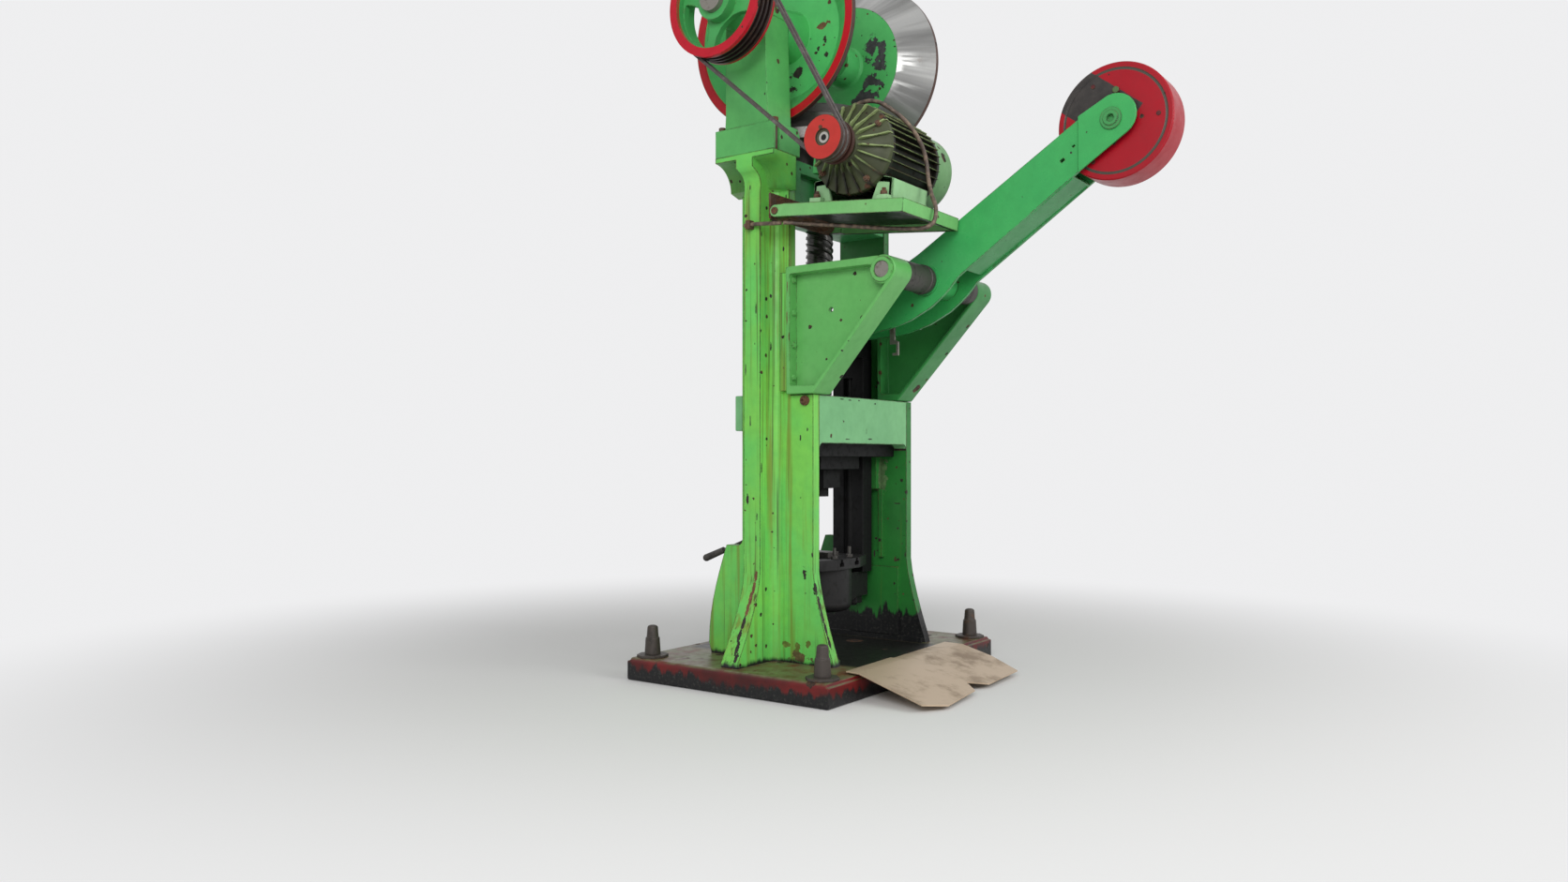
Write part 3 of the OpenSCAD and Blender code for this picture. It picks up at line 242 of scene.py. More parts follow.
def start_group(kind: str, name: str, inputs: dict[str, object],
                outputs: Sequence[str]) -> tuple[Graph, dict[str, Num], bpy.types.Node]:
    """Starts a node group.

    Args:
        kind: Blender's name of the tree's type, Shader or Geometry.
        name: Name of the group.
        inputs: Default of each input, or the name of its socket kind where it has no default.
        outputs: Names of the outputs, numbers in a shader tree and geometry in a geometry tree.

    Returns:
        The graph, its inputs by name and its output node.
    """
    tree = bpy.data.node_groups.new(name, kind + "NodeTree")
    kinds = {int: "Int", float: "Float", tuple: "Vector"}
    for label, default in inputs.items():
        typed = default if isinstance(default, str) else kinds[type(default)]
        socket = tree.interface.new_socket(name=label, in_out="INPUT", socket_type="NodeSocket" + typed)
        if typed is not default:
            socket.default_value = default
    for label in outputs:
        typed = "Float" if kind == "Shader" else "Geometry"
        tree.interface.new_socket(name=label, in_out="OUTPUT", socket_type="NodeSocket" + typed)
    graph = Graph(tree)
    return graph, dict(zip(inputs, graph.outputs("NodeGroupInput"))), graph.node("NodeGroupOutput")


class Effects:
    """The shared surface effects, each a node group that puts out masks or values, made at its first use."""

    @cached_property
    def edge_wear(self) -> bpy.types.NodeTree:
        """A mask that is high on worn outer edges, broken up by noise."""
        g, at, out = start_group("Shader", "edge wear", {"Place": "Vector", "Reach": 0.006, "Amount": 0.5,
                                                         "Grain": 40.0}, ("Mask", "Edge"))
        bevel = g.make("ShaderNodeBevel", {"Radius": at["Reach"]}, samples=6)
        match = g.vector("DOT_PRODUCT", bevel, g.node("ShaderNodeNewGeometry").outputs["Normal"])[1]
        edge = g.rise(match, 0.995, 0.80)
        level = (g.noise(at["Place"], at["Grain"], 5.0, 0.7) * 0.7 + g.noise(at["Place"], 7.0, 2.0, 0.5) * 0.6
                 + edge * 0.34)
        floor = 1.18 - at["Amount"] * 0.42
        g.fill(out, {"Mask": g.rise(level, floor, floor + 0.04) * g.rise(edge, 0.0, 0.25), "Edge": edge})
        return g.tree

    @cached_property
    def paint_chips(self) -> bpy.types.NodeTree:
        """A mask of small round and ragged chips."""
        g, at, out = start_group("Shader", "paint chips", {"Place": "Vector", "Size": 0.012, "Amount": 0.3}, ("Mask",))
        scale = 0.34 / at["Size"]
        spots = g.node("ShaderNodeTexVoronoi", {"Vector": at["Place"], "Scale": scale}, feature="F1")
        lot, spread, _ = g.split(spots.outputs["Color"])
        size = g.math("POWER", spread, 2.0) * 0.26
        reach = size + 0.04 + (g.noise(at["Place"], scale * 4.0, 3.0, 0.6) - 0.5) * 0.32
        dot = g.rise(reach - Num(g, spots.outputs["Distance"]), 0.0, 0.03)
        g.fill(out, {"Mask": dot * g.math("GREATER_THAN", at["Amount"], lot)})
        return g.tree

    @cached_property
    def runs(self) -> bpy.types.NodeTree:
        """A mask of thin upright streaks between two heights."""
        g, at, out = start_group("Shader", "runs", {"Place": "Vector", "Spacing": 0.03, "Low": 0.0, "High": 1.0,
                                                    "Amount": 0.5}, ("Mask",))
        x, y, z = g.split(at["Place"])
        across = 1.0 / at["Spacing"]
        place = g.join(x * across, y * across, z * 1.3)
        level = g.noise(place, 1.0, 3.0, 0.55) * 0.65 + g.noise(place, 0.23, 2.0, 0.5) * 0.5
        floor = 0.86 - at["Amount"] * 0.3
        ends = g.rise(z, at["High"], at["High"] - 0.25) * g.rise(z, at["Low"] - 0.02, at["Low"])
        g.fill(out, {"Mask": g.rise(level, floor, floor + 0.16) * ends})
        return g.tree

    @cached_property
    def grime(self) -> bpy.types.NodeTree:
        """A mask of dirt that ends at a ragged height."""
        g, at, out = start_group("Shader", "grime", {"Place": "Vector", "Height": 0.2, "Ragged": 0.1}, ("Mask",))
        x, y, z = g.split(at["Place"])
        shape = g.noise(g.join(x * 26.0, y * 26.0, z * 6.0), 1.0, 5.0, 0.62) - 0.5
        broad = g.noise(at["Place"], 2.2, 2.0, 0.5) - 0.5
        top = at["Height"] + (shape * 2.4 + broad * 1.6) * at["Ragged"]
        g.fill(out, {"Mask": g.rise(z, top + 0.012, top - 0.012)})
        return g.tree

    @cached_property
    def patch(self) -> bpy.types.NodeTree:
        """A mask of one ragged patch in an ellipsoid."""
        g, at, out = start_group("Shader", "patch", {"Place": "Vector", "Centre": "Vector", "Size": (0.1, 0.1, 0.1),
                                                     "Ragged": 0.6, "Shape": 0.5}, ("Mask",))
        away = g.vector("SUBTRACT", at["Place"], at["Centre"])[0]
        far = g.vector("LENGTH", g.vector("DIVIDE", away, at["Size"])[0])[1]
        reach = (at["Shape"] - 0.5) * (at["Ragged"] * 4.0) + 0.85
        g.fill(out, {"Mask": g.rise(reach - far, 0.0, 0.06)})
        return g.tree

    @cached_property
    def casting_skin(self) -> bpy.types.NodeTree:
        """The uneven height of a filled and painted casting, in metres."""
        g, at, out = start_group("Shader", "casting skin", {"Place": "Vector", "Coarse": 0.0012, "Fine": 0.00025},
                                 ("Height",))
        coarse = g.noise(at["Place"], 9.0, 3.0, 0.5) * at["Coarse"]
        g.fill(out, {"Height": coarse + g.noise(at["Place"], 160.0, 3.0, 0.6) * at["Fine"]})
        return g.tree

    @cached_property
    def round_about_x(self) -> bpy.types.NodeTree:
        """Radius, angle and place along the axis of a place about an axis along X."""
        g, at, out = start_group("Shader", "round about x", {"Place": "Vector", "Centre": "Vector"},
                                 ("Radius", "Angle", "Along"))
        x, y, z = g.split(g.vector("SUBTRACT", at["Place"], at["Centre"])[0])
        g.fill(out, {"Radius": g.math("SQRT", y * y + z * z), "Angle": g.math("ARCTAN2", z, y), "Along": x})
        return g.tree

    @cached_property
    def settled_dirt(self) -> bpy.types.NodeTree:
        """A mask of dust and oil that settles on level faces."""
        g, at, out = start_group("Shader", "settled dirt", {"Place": "Vector", "Amount": 0.6}, ("Mask",))
        level = g.rise(g.upward(), 0.55, 0.95)
        g.fill(out, {"Mask": level * g.cloud(at["Place"], 14.0, 5.0, 0.65, 0.25, 0.7) * at["Amount"]})
        return g.tree


# --------------------------------------------------------------------------- finishes

# Colour of the painted shade on downward faces.
SHADE = (0.006, 0.008, 0.006)
BARE_METAL = (0.020, 0.015, 0.012), (0.11, 0.050, 0.026)
# Dark oil and the lighter colour of its painted glint.
OIL_AND_GLINT = (0.010, 0.010, 0.011), (0.050, 0.048, 0.044)
RUST_BLOOM = (0.060, 0.026, 0.013), (0.17, 0.075, 0.033)
FINGER_RUST = (0.16, 0.10, 0.06)
OIL_ROUGH = 0.36
RING_SOFT = 0.0012
COARSE_MARK = 0.016
RUN_LAYERS = ((0.03, 1.0, 0.75, (0.19, 0.21, 0.030)), (0.011, 0.8, 0.85, (0.065, 0.048, 0.018)))


def scaled(color: Color, share: float) -> Color:
    """A colour made darker or lighter by a share."""
    return tuple(share * c for c in color)


@dataclass(frozen=True)
class Ring:
    """A round zone of another colour about an axis along X.

    Attributes:
        y: Y of the axis.
        z: Z of the axis.
        radius: Lowest and highest radius.
        along: Lowest and highest X.
        color: Colour of the zone.
    """

    y: float
    z: float
    radius: tuple[float, float]
    along: tuple[float, float]
    color: Color


@dataclass(frozen=True)
class Mark:
    """A ragged patch where the paint is off, or a stain.

    Attributes:
        centre: Middle of the patch.
        size: Half its size along each axis.
        color: Colour of the patch.
        ragged: How broken its outline is.
    """

    centre: Point
    size: Point
    color: Color = (0.028, 0.022, 0.018)
    ragged: float = 0.6


@dataclass(frozen=True)
class Box:
    """A straight-edged zone of another colour.

    Attributes:
        low: Lowest corner.
        high: Highest corner.
        color: Colour of the zone.
        soft: How wide its fade is.
    """

    low: Point
    high: Point
    color: Color
    soft: float = 0.01

    def mask(self, g: Graph, place: Value) -> Num:
        """A mask that is 1 inside the box."""
        x, y, z = (g.between(*limits, self.soft) for limits in zip(g.split(place), self.low, self.high))
        return x * y * z


@dataclass(frozen=True)
class Paint:
    """Old brushed enamel on a casting or a welded plate.

    Attributes:
        name: Name of the finish.
        color: Colour of the paint.
        tint: Second colour that the paint drifts to.
        chips: Share of small chips.
        edges: How worn the edges are.
        runs: How much the yellow-brown streaks show.
        runs_span: Lowest and highest Z of the streaks.
        oil: Height up to which black oil lies.
        oil_ragged: How uneven the oil's top is.
        dirt: How much dirt lies on level faces.
        under: How much painted shade darkens the downward faces.
        gloss: Roughness of the clean paint.
        chip_size: Size of the small chips.
        dust: Colour of the dirt.
        rings: Round zones of other colours.
        boxes: Straight zones of other colours.
        marks: Patches of bare metal and stains.
    """

    name: str
    color: Color
    tint: Color
    chips: float = 0.22
    edges: float = 0.5
    runs: float = 0.0
    runs_span: tuple[float, float] = (0.0, 3.0)
    oil: float = -1.0
    oil_ragged: float = 0.1
    dirt: float = 0.55
    under: float = 0.0
    gloss: float = 0.34
    chip_size: float = 0.013
    dust: Color = (0.070, 0.060, 0.040)
    rings: tuple[Ring, ...] = ()
    boxes: tuple[Box, ...] = ()
    marks: tuple[Mark, ...] = ()

    def build(self, effects: Effects) -> bpy.types.Material:
        """Builds the material from the shared effects and returns it."""
        material, g, shader, place = start_material(self.name)
        cloud = g.cloud(place, 21.0, 5.0, 0.65, 0.3, 0.8)
        color = g.mix(g.cloud(place, 3.1, 4.0, 0.6, 0.34, 0.68), self.color, self.tint)
        color = g.mix(cloud * 0.26, color, scaled(self.color, 0.55))
        for ring in self.rings:
            radius, _, along = g.use(effects.round_about_x, Place=place, Centre=(0.0, ring.y, ring.z))
            inside = g.between(radius, *ring.radius, RING_SOFT) * g.between(along, *ring.along, RING_SOFT)
            color = g.mix(inside, color, g.mix(cloud * 0.3, ring.color, scaled(ring.color, 0.5)))
        for spacing, share, amount, tone in RUN_LAYERS if self.runs > 0 else ():
            streak, = g.use(effects.runs, Place=place, Spacing=spacing, Low=self.runs_span[0],
                            High=self.runs_span[1], Amount=self.runs * share)
            color = g.mix(streak * amount, color, tone)
        dirt, = g.use(effects.settled_dirt, Place=place, Amount=self.dirt)
        color = g.mix(dirt, color, self.dust)
        for box in self.boxes:
            color = g.mix(box.mask(g, place), color, box.color)
        # Painted shade: downward faces are darkened towards SHADE by the under share.
        if self.under > 0:
            color = g.mix(g.rise(g.upward(), -0.6, -0.9) * self.under, color, SHADE)
        wear, _ = g.use(effects.edge_wear, Place=place, Reach=0.009, Amount=self.edges, Grain=34.0)
        small, = g.use(effects.paint_chips, Place=place, Size=self.chip_size, Amount=self.chips)
        large, = g.use(effects.paint_chips, Place=place, Size=self.chip_size * 2.6, Amount=self.chips * 0.42)
        bare = g.math("MAXIMUM", wear, g.math("MAXIMUM", small, large))
        rust = g.cloud(place, 31.0, 4.0, 0.6, 0.42, 0.66)
        color = g.mix(bare, color, g.mix(rust, *BARE_METAL))
        teeth = [g.noise(place, grain, 4.0, 0.66) for grain in (90.0, 20.0)] if self.marks else []
        for mark in self.marks:
            spot, = g.use(effects.patch, Place=place, Centre=mark.centre, Size=mark.size, Ragged=mark.ragged,
                          Shape=teeth[min(mark.size) > COARSE_MARK])
            color = g.mix(spot, color, g.mix(rust, mark.color, scaled(mark.color, 1.7)))
            bare = g.math("MAXIMUM", bare, spot)
        rough = cloud * 0.16 + self.gloss + bare * 0.34
        if self.oil > 0:
            oil, = g.use(effects.grime, Place=place, Height=self.oil, Ragged=self.oil_ragged)
            # The glint is a painted highlight on the oil: a lighter colour mixed in by noise.
            glint = g.cloud(place, 70.0, 3.0, 0.7, 0.5, 0.75)
            color = g.mix(oil, color, g.mix(glint, *OIL_AND_GLINT))
            rough = (OIL_ROUGH - rough) * oil + rough
        skin, = g.use(effects.casting_skin, Place=place, Coarse=0.0022, Fine=0.00022)
        g.fill(shader, {"Base Color": color, "Roughness": rough, "Normal": g.bump(skin - bare * 0.0007, 0.55),
                        "Specular IOR Level": 0.30})
        return material


@dataclass(frozen=True)
class Iron:
    """Bare or oily iron and steel, dull to polished.

    Attributes:
        name: Name of the finish.
        color: Colour of the metal.
        stain: Colour of its stains.
        metallic: How much it acts as bare metal.
        rough: Roughness of the clean metal.
        stained: Share of the surface that is stained.
        rust: How much rust blooms on it.
        grain: How fine its stains are.
        shine: Strength of its reflections.
    """

    name: str
    color: Color
    stain: Color
    metallic: float = 0.6
    rough: float = 0.42
    stained: float = 0.5
    rust: float = 0.0
    grain: float = 26.0
    shine: float = 0.5

    def build(self, effects: Effects) -> bpy.types.Material:
        """Builds the material from the shared effects and returns it."""
        material, g, shader, place = start_material(self.name)
        low, rusty = 0.72 - 0.42 * self.stained, 0.72 - 0.4 * self.rust
        amount = g.cloud(place, self.grain, 6.0, 0.68, low, low + 0.22)
        bloom = g.cloud(place, self.grain * 0.45, 5.0, 0.7, rusty, rusty + 0.14) * min(1.0, self.rust * 2.0)
        speck = g.cloud(place, self.grain * 7.0, 3.0, 0.6, 0.35, 0.7)
        color = g.mix(bloom, g.mix(amount, self.color, self.stain), g.mix(speck, *RUST_BLOOM))
        _, edge = g.use(effects.edge_wear, Place=place, Reach=0.004, Amount=0.75, Grain=60.0)
        color = g.mix(edge * 0.4, color, tuple(min(1.0, 1.9 * c + 0.03) for c in self.color))
        keep = 1.0 - g.math("MAXIMUM", amount * 0.6, bloom)
        skin, = g.use(effects.casting_skin, Place=place, Coarse=0.0008, Fine=0.0003)
        g.fill(shader, {"Base Color": color, "Metallic": keep * self.metallic,
                        "Roughness": amount * 0.2 + self.rough + bloom * 0.3,
                        "Normal": g.bump(skin + bloom * 0.0005, 0.7), "Specular IOR Level": self.shine})
        return material


@dataclass(frozen=True)
class TurnedSteel:
    """Steel turned bright about an axis along X, with fine rings and broad painted bands of reflected light.

    Attributes:
        name: Name of the finish.
        centre: A point on the axis.
        color: Colour of the steel.
        bands: How strong the painted reflection bands are.
    """

    name: str
    centre: Point
    color: Color = (0.36, 0.36, 0.35)
    bands: float = 0.9

    def build(self, effects: Effects) -> bpy.types.Material:
        """Builds the material from the shared effects and returns it."""
        material, g, shader, place = start_material(self.name)
        radius, angle, _ = g.use(effects.round_about_x, Place=place, Centre=self.centre)
        turn = g.join(g.math("COSINE", angle), g.math("SINE", angle), radius * 0.25)
        dark = scaled(self.color, 0.52)
        # Painted reflection: broad bands, lighter and darker by angle round the axis, stand for reflected light.
        color = g.mix(g.cloud(turn, 3.1, 4.0, 0.62, 0.30, 0.74) * self.bands, dark, scaled(self.color, 1.55))
        ring = g.noise(g.join(radius * 900.0, 0.0, 0.0), 1.0, 2.0, 0.5)
        color = g.mix(g.rise(ring, 0.3, 0.7) * 0.25, color, dark)
        color = g.mix(g.cloud(place, 9.0, 5.0, 0.7, 0.60, 0.76) * 0.35, color, FINGER_RUST)
        g.fill(shader, {"Base Color": color, "Metallic": 0.85, "Roughness": ring * 0.16 + 0.24,
                        "Normal": g.bump(ring * 0.00006, 0.6)})
        return material


@dataclass(frozen=True)
class Rubber:
    """Black rubber of belts and cables, greyed by dust.

    Attributes:
        name: Name of the finish.
        color: Colour of the rubber.
        dust: Colour of the dust on it.
        dusty: Share of the dust.
        rough: Roughness.
    """

    name: str
    color: Color
    dust: Color
    dusty: float = 0.4
    rough: float = 0.55

    def build(self, effects: Effects) -> bpy.types.Material:
        """Builds the material from the shared effects and returns it."""
        material, g, shader, place = start_material(self.name)
        cloud = g.cloud(place, 34.0, 5.0, 0.65, 0.6 - 0.3 * self.dusty, 0.9 - 0.3 * self.dusty)
        _, edge = g.use(effects.edge_wear, Place=place, Reach=0.002, Amount=0.7, Grain=90.0)
        color = g.mix(edge * 0.35, g.mix(cloud, self.color, self.dust), self.dust)
        g.fill(shader, {"Base Color": color, "Roughness": cloud * 0.25 + self.rough,
                        "Normal": g.bump(g.noise(place, 420.0, 2.0, 0.6) * 0.00012, 0.8)})
        return material


def start_material(name: str) -> tuple[bpy.types.Material, Graph, bpy.types.Node, Num]:
    """Starts a material with a Principled shader and Object coordinates.

    Args:
        name: Name of the material.

    Returns:
        The material, its graph, the shader node and the coordinates.
    """
    material = bpy.data.materials.new(name)
    material.use_nodes = True
    material.node_tree.nodes.clear()
    g = Graph(material.node_tree)
    shader = g.node("ShaderNodeBsdfPrincipled")
    g.node("ShaderNodeOutputMaterial", {"Surface": shader.outputs[0]})
    return material, g, shader, Num(g, g.node("ShaderNodeTexCoord").outputs["Object"])


# --------------------------------------------------------------------------- mesh work


MERGE = 2e-5
FLAT_ANGLE = math.radians(0.6)
ROUNDED_ANGLE = math.radians(32)
SHARP_ANGLE = math.radians(40)
MOST_VOLUME_LOST = 0.04
MOST_FOLDED_AREA = 2e-6


def new_object(name: str, data: bpy.types.ID) -> bpy.types.Object:
    """Links a mesh, a curve, a lamp or a camera to the scene as an object at the origin."""
    made = bpy.data.objects.new(name, data)
    bpy.context.scene.collection.objects.link(made)
    return made


def laid(axis: Axis, along: float, u: float, v: float) -> Point:
    """A point from its place along an axis and its places along the other two, in order."""
    return {Axis.X: (along, u, v), Axis.Y: (u, along, v), Axis.Z: (u, v, along)}[axis]


def from_faces(name: str, points: Sequence[Sequence[float]], faces: Sequence[Sequence[int]]) -> bpy.types.Object:
    """Makes an object of points and faces, with its normals outwards."""
    mesh = bpy.data.meshes.new(name)
    mesh.from_pydata([tuple(p) for p in points], [], [tuple(f) for f in faces])
    bm = bmesh.new()
    bm.from_mesh(mesh)
    bmesh.ops.remove_doubles(bm, verts=bm.verts, dist=1e-6)
    bmesh.ops.recalc_face_normals(bm, faces=bm.faces)
    bm.to_mesh(mesh)
    bm.free()
    return new_object(name, mesh)


def turned(name: str, profile: Sequence[tuple[float, float]], axis: Axis, centre: Point,
           steps: int = 96) -> bpy.types.Object:
    """Turns a closed profile about an axis.

    Args:
        name: Name of the object.
        profile: Radius and place along the axis of each corner, in order round the section.
        axis: The axis that it turns about.
        centre: A point on the axis.
        steps: Number of steps round.

    Returns:
        The turned object.
    """
    points, faces = [], []
    count = len(profile)
    for i in range(steps):
        a, j = 2 * math.pi * i / steps, (i + 1) % steps
        for k, (radius, along) in enumerate(profile):
            n = (k + 1) % count
            corner = laid(axis, along, radius * math.cos(a), radius * math.sin(a))
            points.append([c + q for c, q in zip(centre, corner)])
            faces.append((i * count + k, j * count + k, j * count + n, i * count + n))
    return from_faces(name, points, faces)


def prism(name: str, outline: Sequence[tuple[float, float]], axis: Axis, low: float, high: float) -> bpy.types.Object:
    """Carries an outline along an axis, from low to high. The outline is in the other two axes, in order."""
    points = [laid(axis, along, u, v) for along in (low, high) for u, v in outline]
    n = len(outline)
    faces = [tuple(range(n)), tuple(range(2 * n - 1, n - 1, -1))]
    faces += [(i, (i + 1) % n, n + (i + 1) % n, n + i) for i in range(n)]
    return from_faces(name, points, faces)


def folded_area(bm: bmesh.types.BMesh) -> float:
    """Area of the triangles that face against their own face, in square metres."""
    bm.normal_update()
    total = 0.0
    for first, second, third in bm.calc_loop_triangles():
        normal = (second.vert.co - first.vert.co).cross(third.vert.co - first.vert.co)
        if normal.dot(first.face.normal) < 0.0:
            total += normal.length / 2
    return total


def long_sharp_edges(bm: bmesh.types.BMesh, width: float) -> list[bmesh.types.BMEdge]:
    """The sharp edges that are long enough for a rounding, without those between crowded corners."""
    sharp = {e for e in bm.edges if len(e.link_faces) == 2 and e.calc_face_angle(0.0) > ROUNDED_ANGLE
             and e.calc_length() > 1.2 * width}
    crowded = {v for e in bm.edges if e not in sharp and e.calc_length() < 2.2 * width for v in e.verts
               if len(v.link_edges) > 4}
    return [e for e in bm.edges if e in sharp and not (e.verts[0] in crowded and e.verts[1] in crowded)]


def soften(piece: bpy.types.Object, width: float) -> bpy.types.Object:
    """Rounds the long sharp edges of a piece and gives it smooth shading with flat faces kept flat.

    Args:
        piece: The object, at the origin.
        width: Width of the rounding, or 0 for shading alone. It is lessened where it would fold the mesh.

    Returns:
        The plain mesh object that takes its place.
    """
    mesh = piece.data
    for share in (1.0, 0.6, 0.35) if width > 0 else ():
        bm = bmesh.new()
        bm.from_mesh(mesh)
        before, flaws = abs(bm.calc_volume(signed=True)), folded_area(bm)
        bmesh.ops.bevel(bm, geom=long_sharp_edges(bm, width * share), offset=width * share, offset_type="OFFSET",
                        segments=2, profile=0.5, affect="EDGES", clamp_overlap=False, miter_outer="SHARP",
                        miter_inner="SHARP")
        lost = abs(abs(bm.calc_volume(signed=True)) - before)
        sound = lost <= MOST_VOLUME_LOST * before and folded_area(bm) < flaws + MOST_FOLDED_AREA
        if sound:
            bm.to_mesh(mesh)
        bm.free()
        if sound:
            break
    else:
        if width > 0:
            LOG.warning("%s keeps its sharp edges", piece.name)
    smooth(piece, SHARP_ANGLE)
    piece.modifiers.new("flat faces", "WEIGHTED_NORMAL").keep_sharp = True
    return settle(piece)


def smooth(piece: bpy.types.Object, angle: float) -> None:
    """Shades a piece smooth, with the edges above an angle kept sharp."""
    piece.data.shade_smooth()
    piece.data.set_sharp_from_angle(angle=angle)


def settle(piece: bpy.types.Object) -> bpy.types.Object:
    """Turns a piece and its modifiers into a plain mesh at the origin and returns it."""
    bpy.context.view_layer.update()
    graph = bpy.context.evaluated_depsgraph_get()
    mesh = bpy.data.meshes.new_from_object(piece.evaluated_get(graph), preserve_all_data_layers=True, depsgraph=graph)
    name = piece.name
    bpy.data.objects.remove(piece)
    mesh.name = name
    return new_object(name, mesh)


def copy_of(node: str, name: str) -> bpy.types.Object:
    """A merged copy of a CAD node's mesh, with its level faces joined."""
    bm = bmesh.new()
    bm.from_mesh(bpy.data.objects[node].data)
    bmesh.ops.remove_doubles(bm, verts=bm.verts, dist=MERGE)
    bmesh.ops.dissolve_limit(bm, angle_limit=FLAT_ANGLE, verts=bm.verts, edges=bm.edges)
    bmesh.ops.recalc_face_normals(bm, faces=bm.faces)
    mesh = bpy.data.meshes.new(name)
    bm.to_mesh(mesh)
    bm.free()
    return new_object(name, mesh)


def joined(name: str, pieces: Sequence[bpy.types.Object]) -> bpy.types.Object:
    """Joins plain meshes at the origin into one, with their materials, and removes the parts."""
    bm = bmesh.new()
    materials: list[bpy.types.Material] = []
    for piece in pieces:
        start = len(bm.faces)
        bm.from_mesh(piece.data)
        bm.faces.ensure_lookup_table()
        for face in bm.faces[start:]:
            slot = piece.data.materials[face.material_index] if piece.data.materials else None
            if slot is not None:
                if slot not in materials:
                    materials.append(slot)
                face.material_index = materials.index(slot)
    mesh = bpy.data.meshes.new(name)
    bm.to_mesh(mesh)
    bm.free()
    for material in materials:
        mesh.materials.append(material)
    for piece in pieces:
        bpy.data.objects.remove(piece)
    return new_object(name, mesh)


def islands(node: str) -> list[tuple[Vector, Vector]]:
    """Lowest and highest corner of each separate solid of a CAD node, in order along X, Y and Z."""
    bm = bmesh.new()
    bm.from_mesh(bpy.data.objects[node].data)
    bmesh.ops.remove_doubles(bm, verts=bm.verts, dist=MERGE)
    seen: set[bmesh.types.BMVert] = set()
    found = []
    for first in bm.verts:
        if first in seen:
            continue
        seen.add(first)
        stack, low, high = [first], first.co.copy(), first.co.copy()
        while stack:
            vert = stack.pop()
            for i in range(3):
                low[i], high[i] = min(low[i], vert.co[i]), max(high[i], vert.co[i])
            for edge in vert.link_edges:
                other = edge.other_vert(vert)
                if other not in seen:
                    seen.add(other)
                    stack.append(other)
        found.append((low, high))
    bm.free()
    return sorted(found, key=lambda box: tuple(round(v, 4) for v in box[0]))


def smooth_route(points: Sequence[Point], steps: int = 6) -> list[Point]:
    """Passes a smooth line through a route's points."""
    p = [Vector(q) for q in points]
    p = [2 * p[0] - p[1], *p, 2 * p[-1] - p[-2]]
    route = []
    for i in range(1, len(p) - 2):
        for k in range(steps):
            t = k / steps
            a, b, c, d = p[i - 1], p[i], p[i + 1], p[i + 2]
            route.append(0.5 * ((2 * b) + (c - a) * t + (2 * a - 5 * b + 4 * c - d) * t * t
                                + (3 * b - a - 3 * c + d) * t * t * t))
    return [tuple(q) for q in (*route, p[-2])]


# --------------------------------------------------------------------------- geometry trees


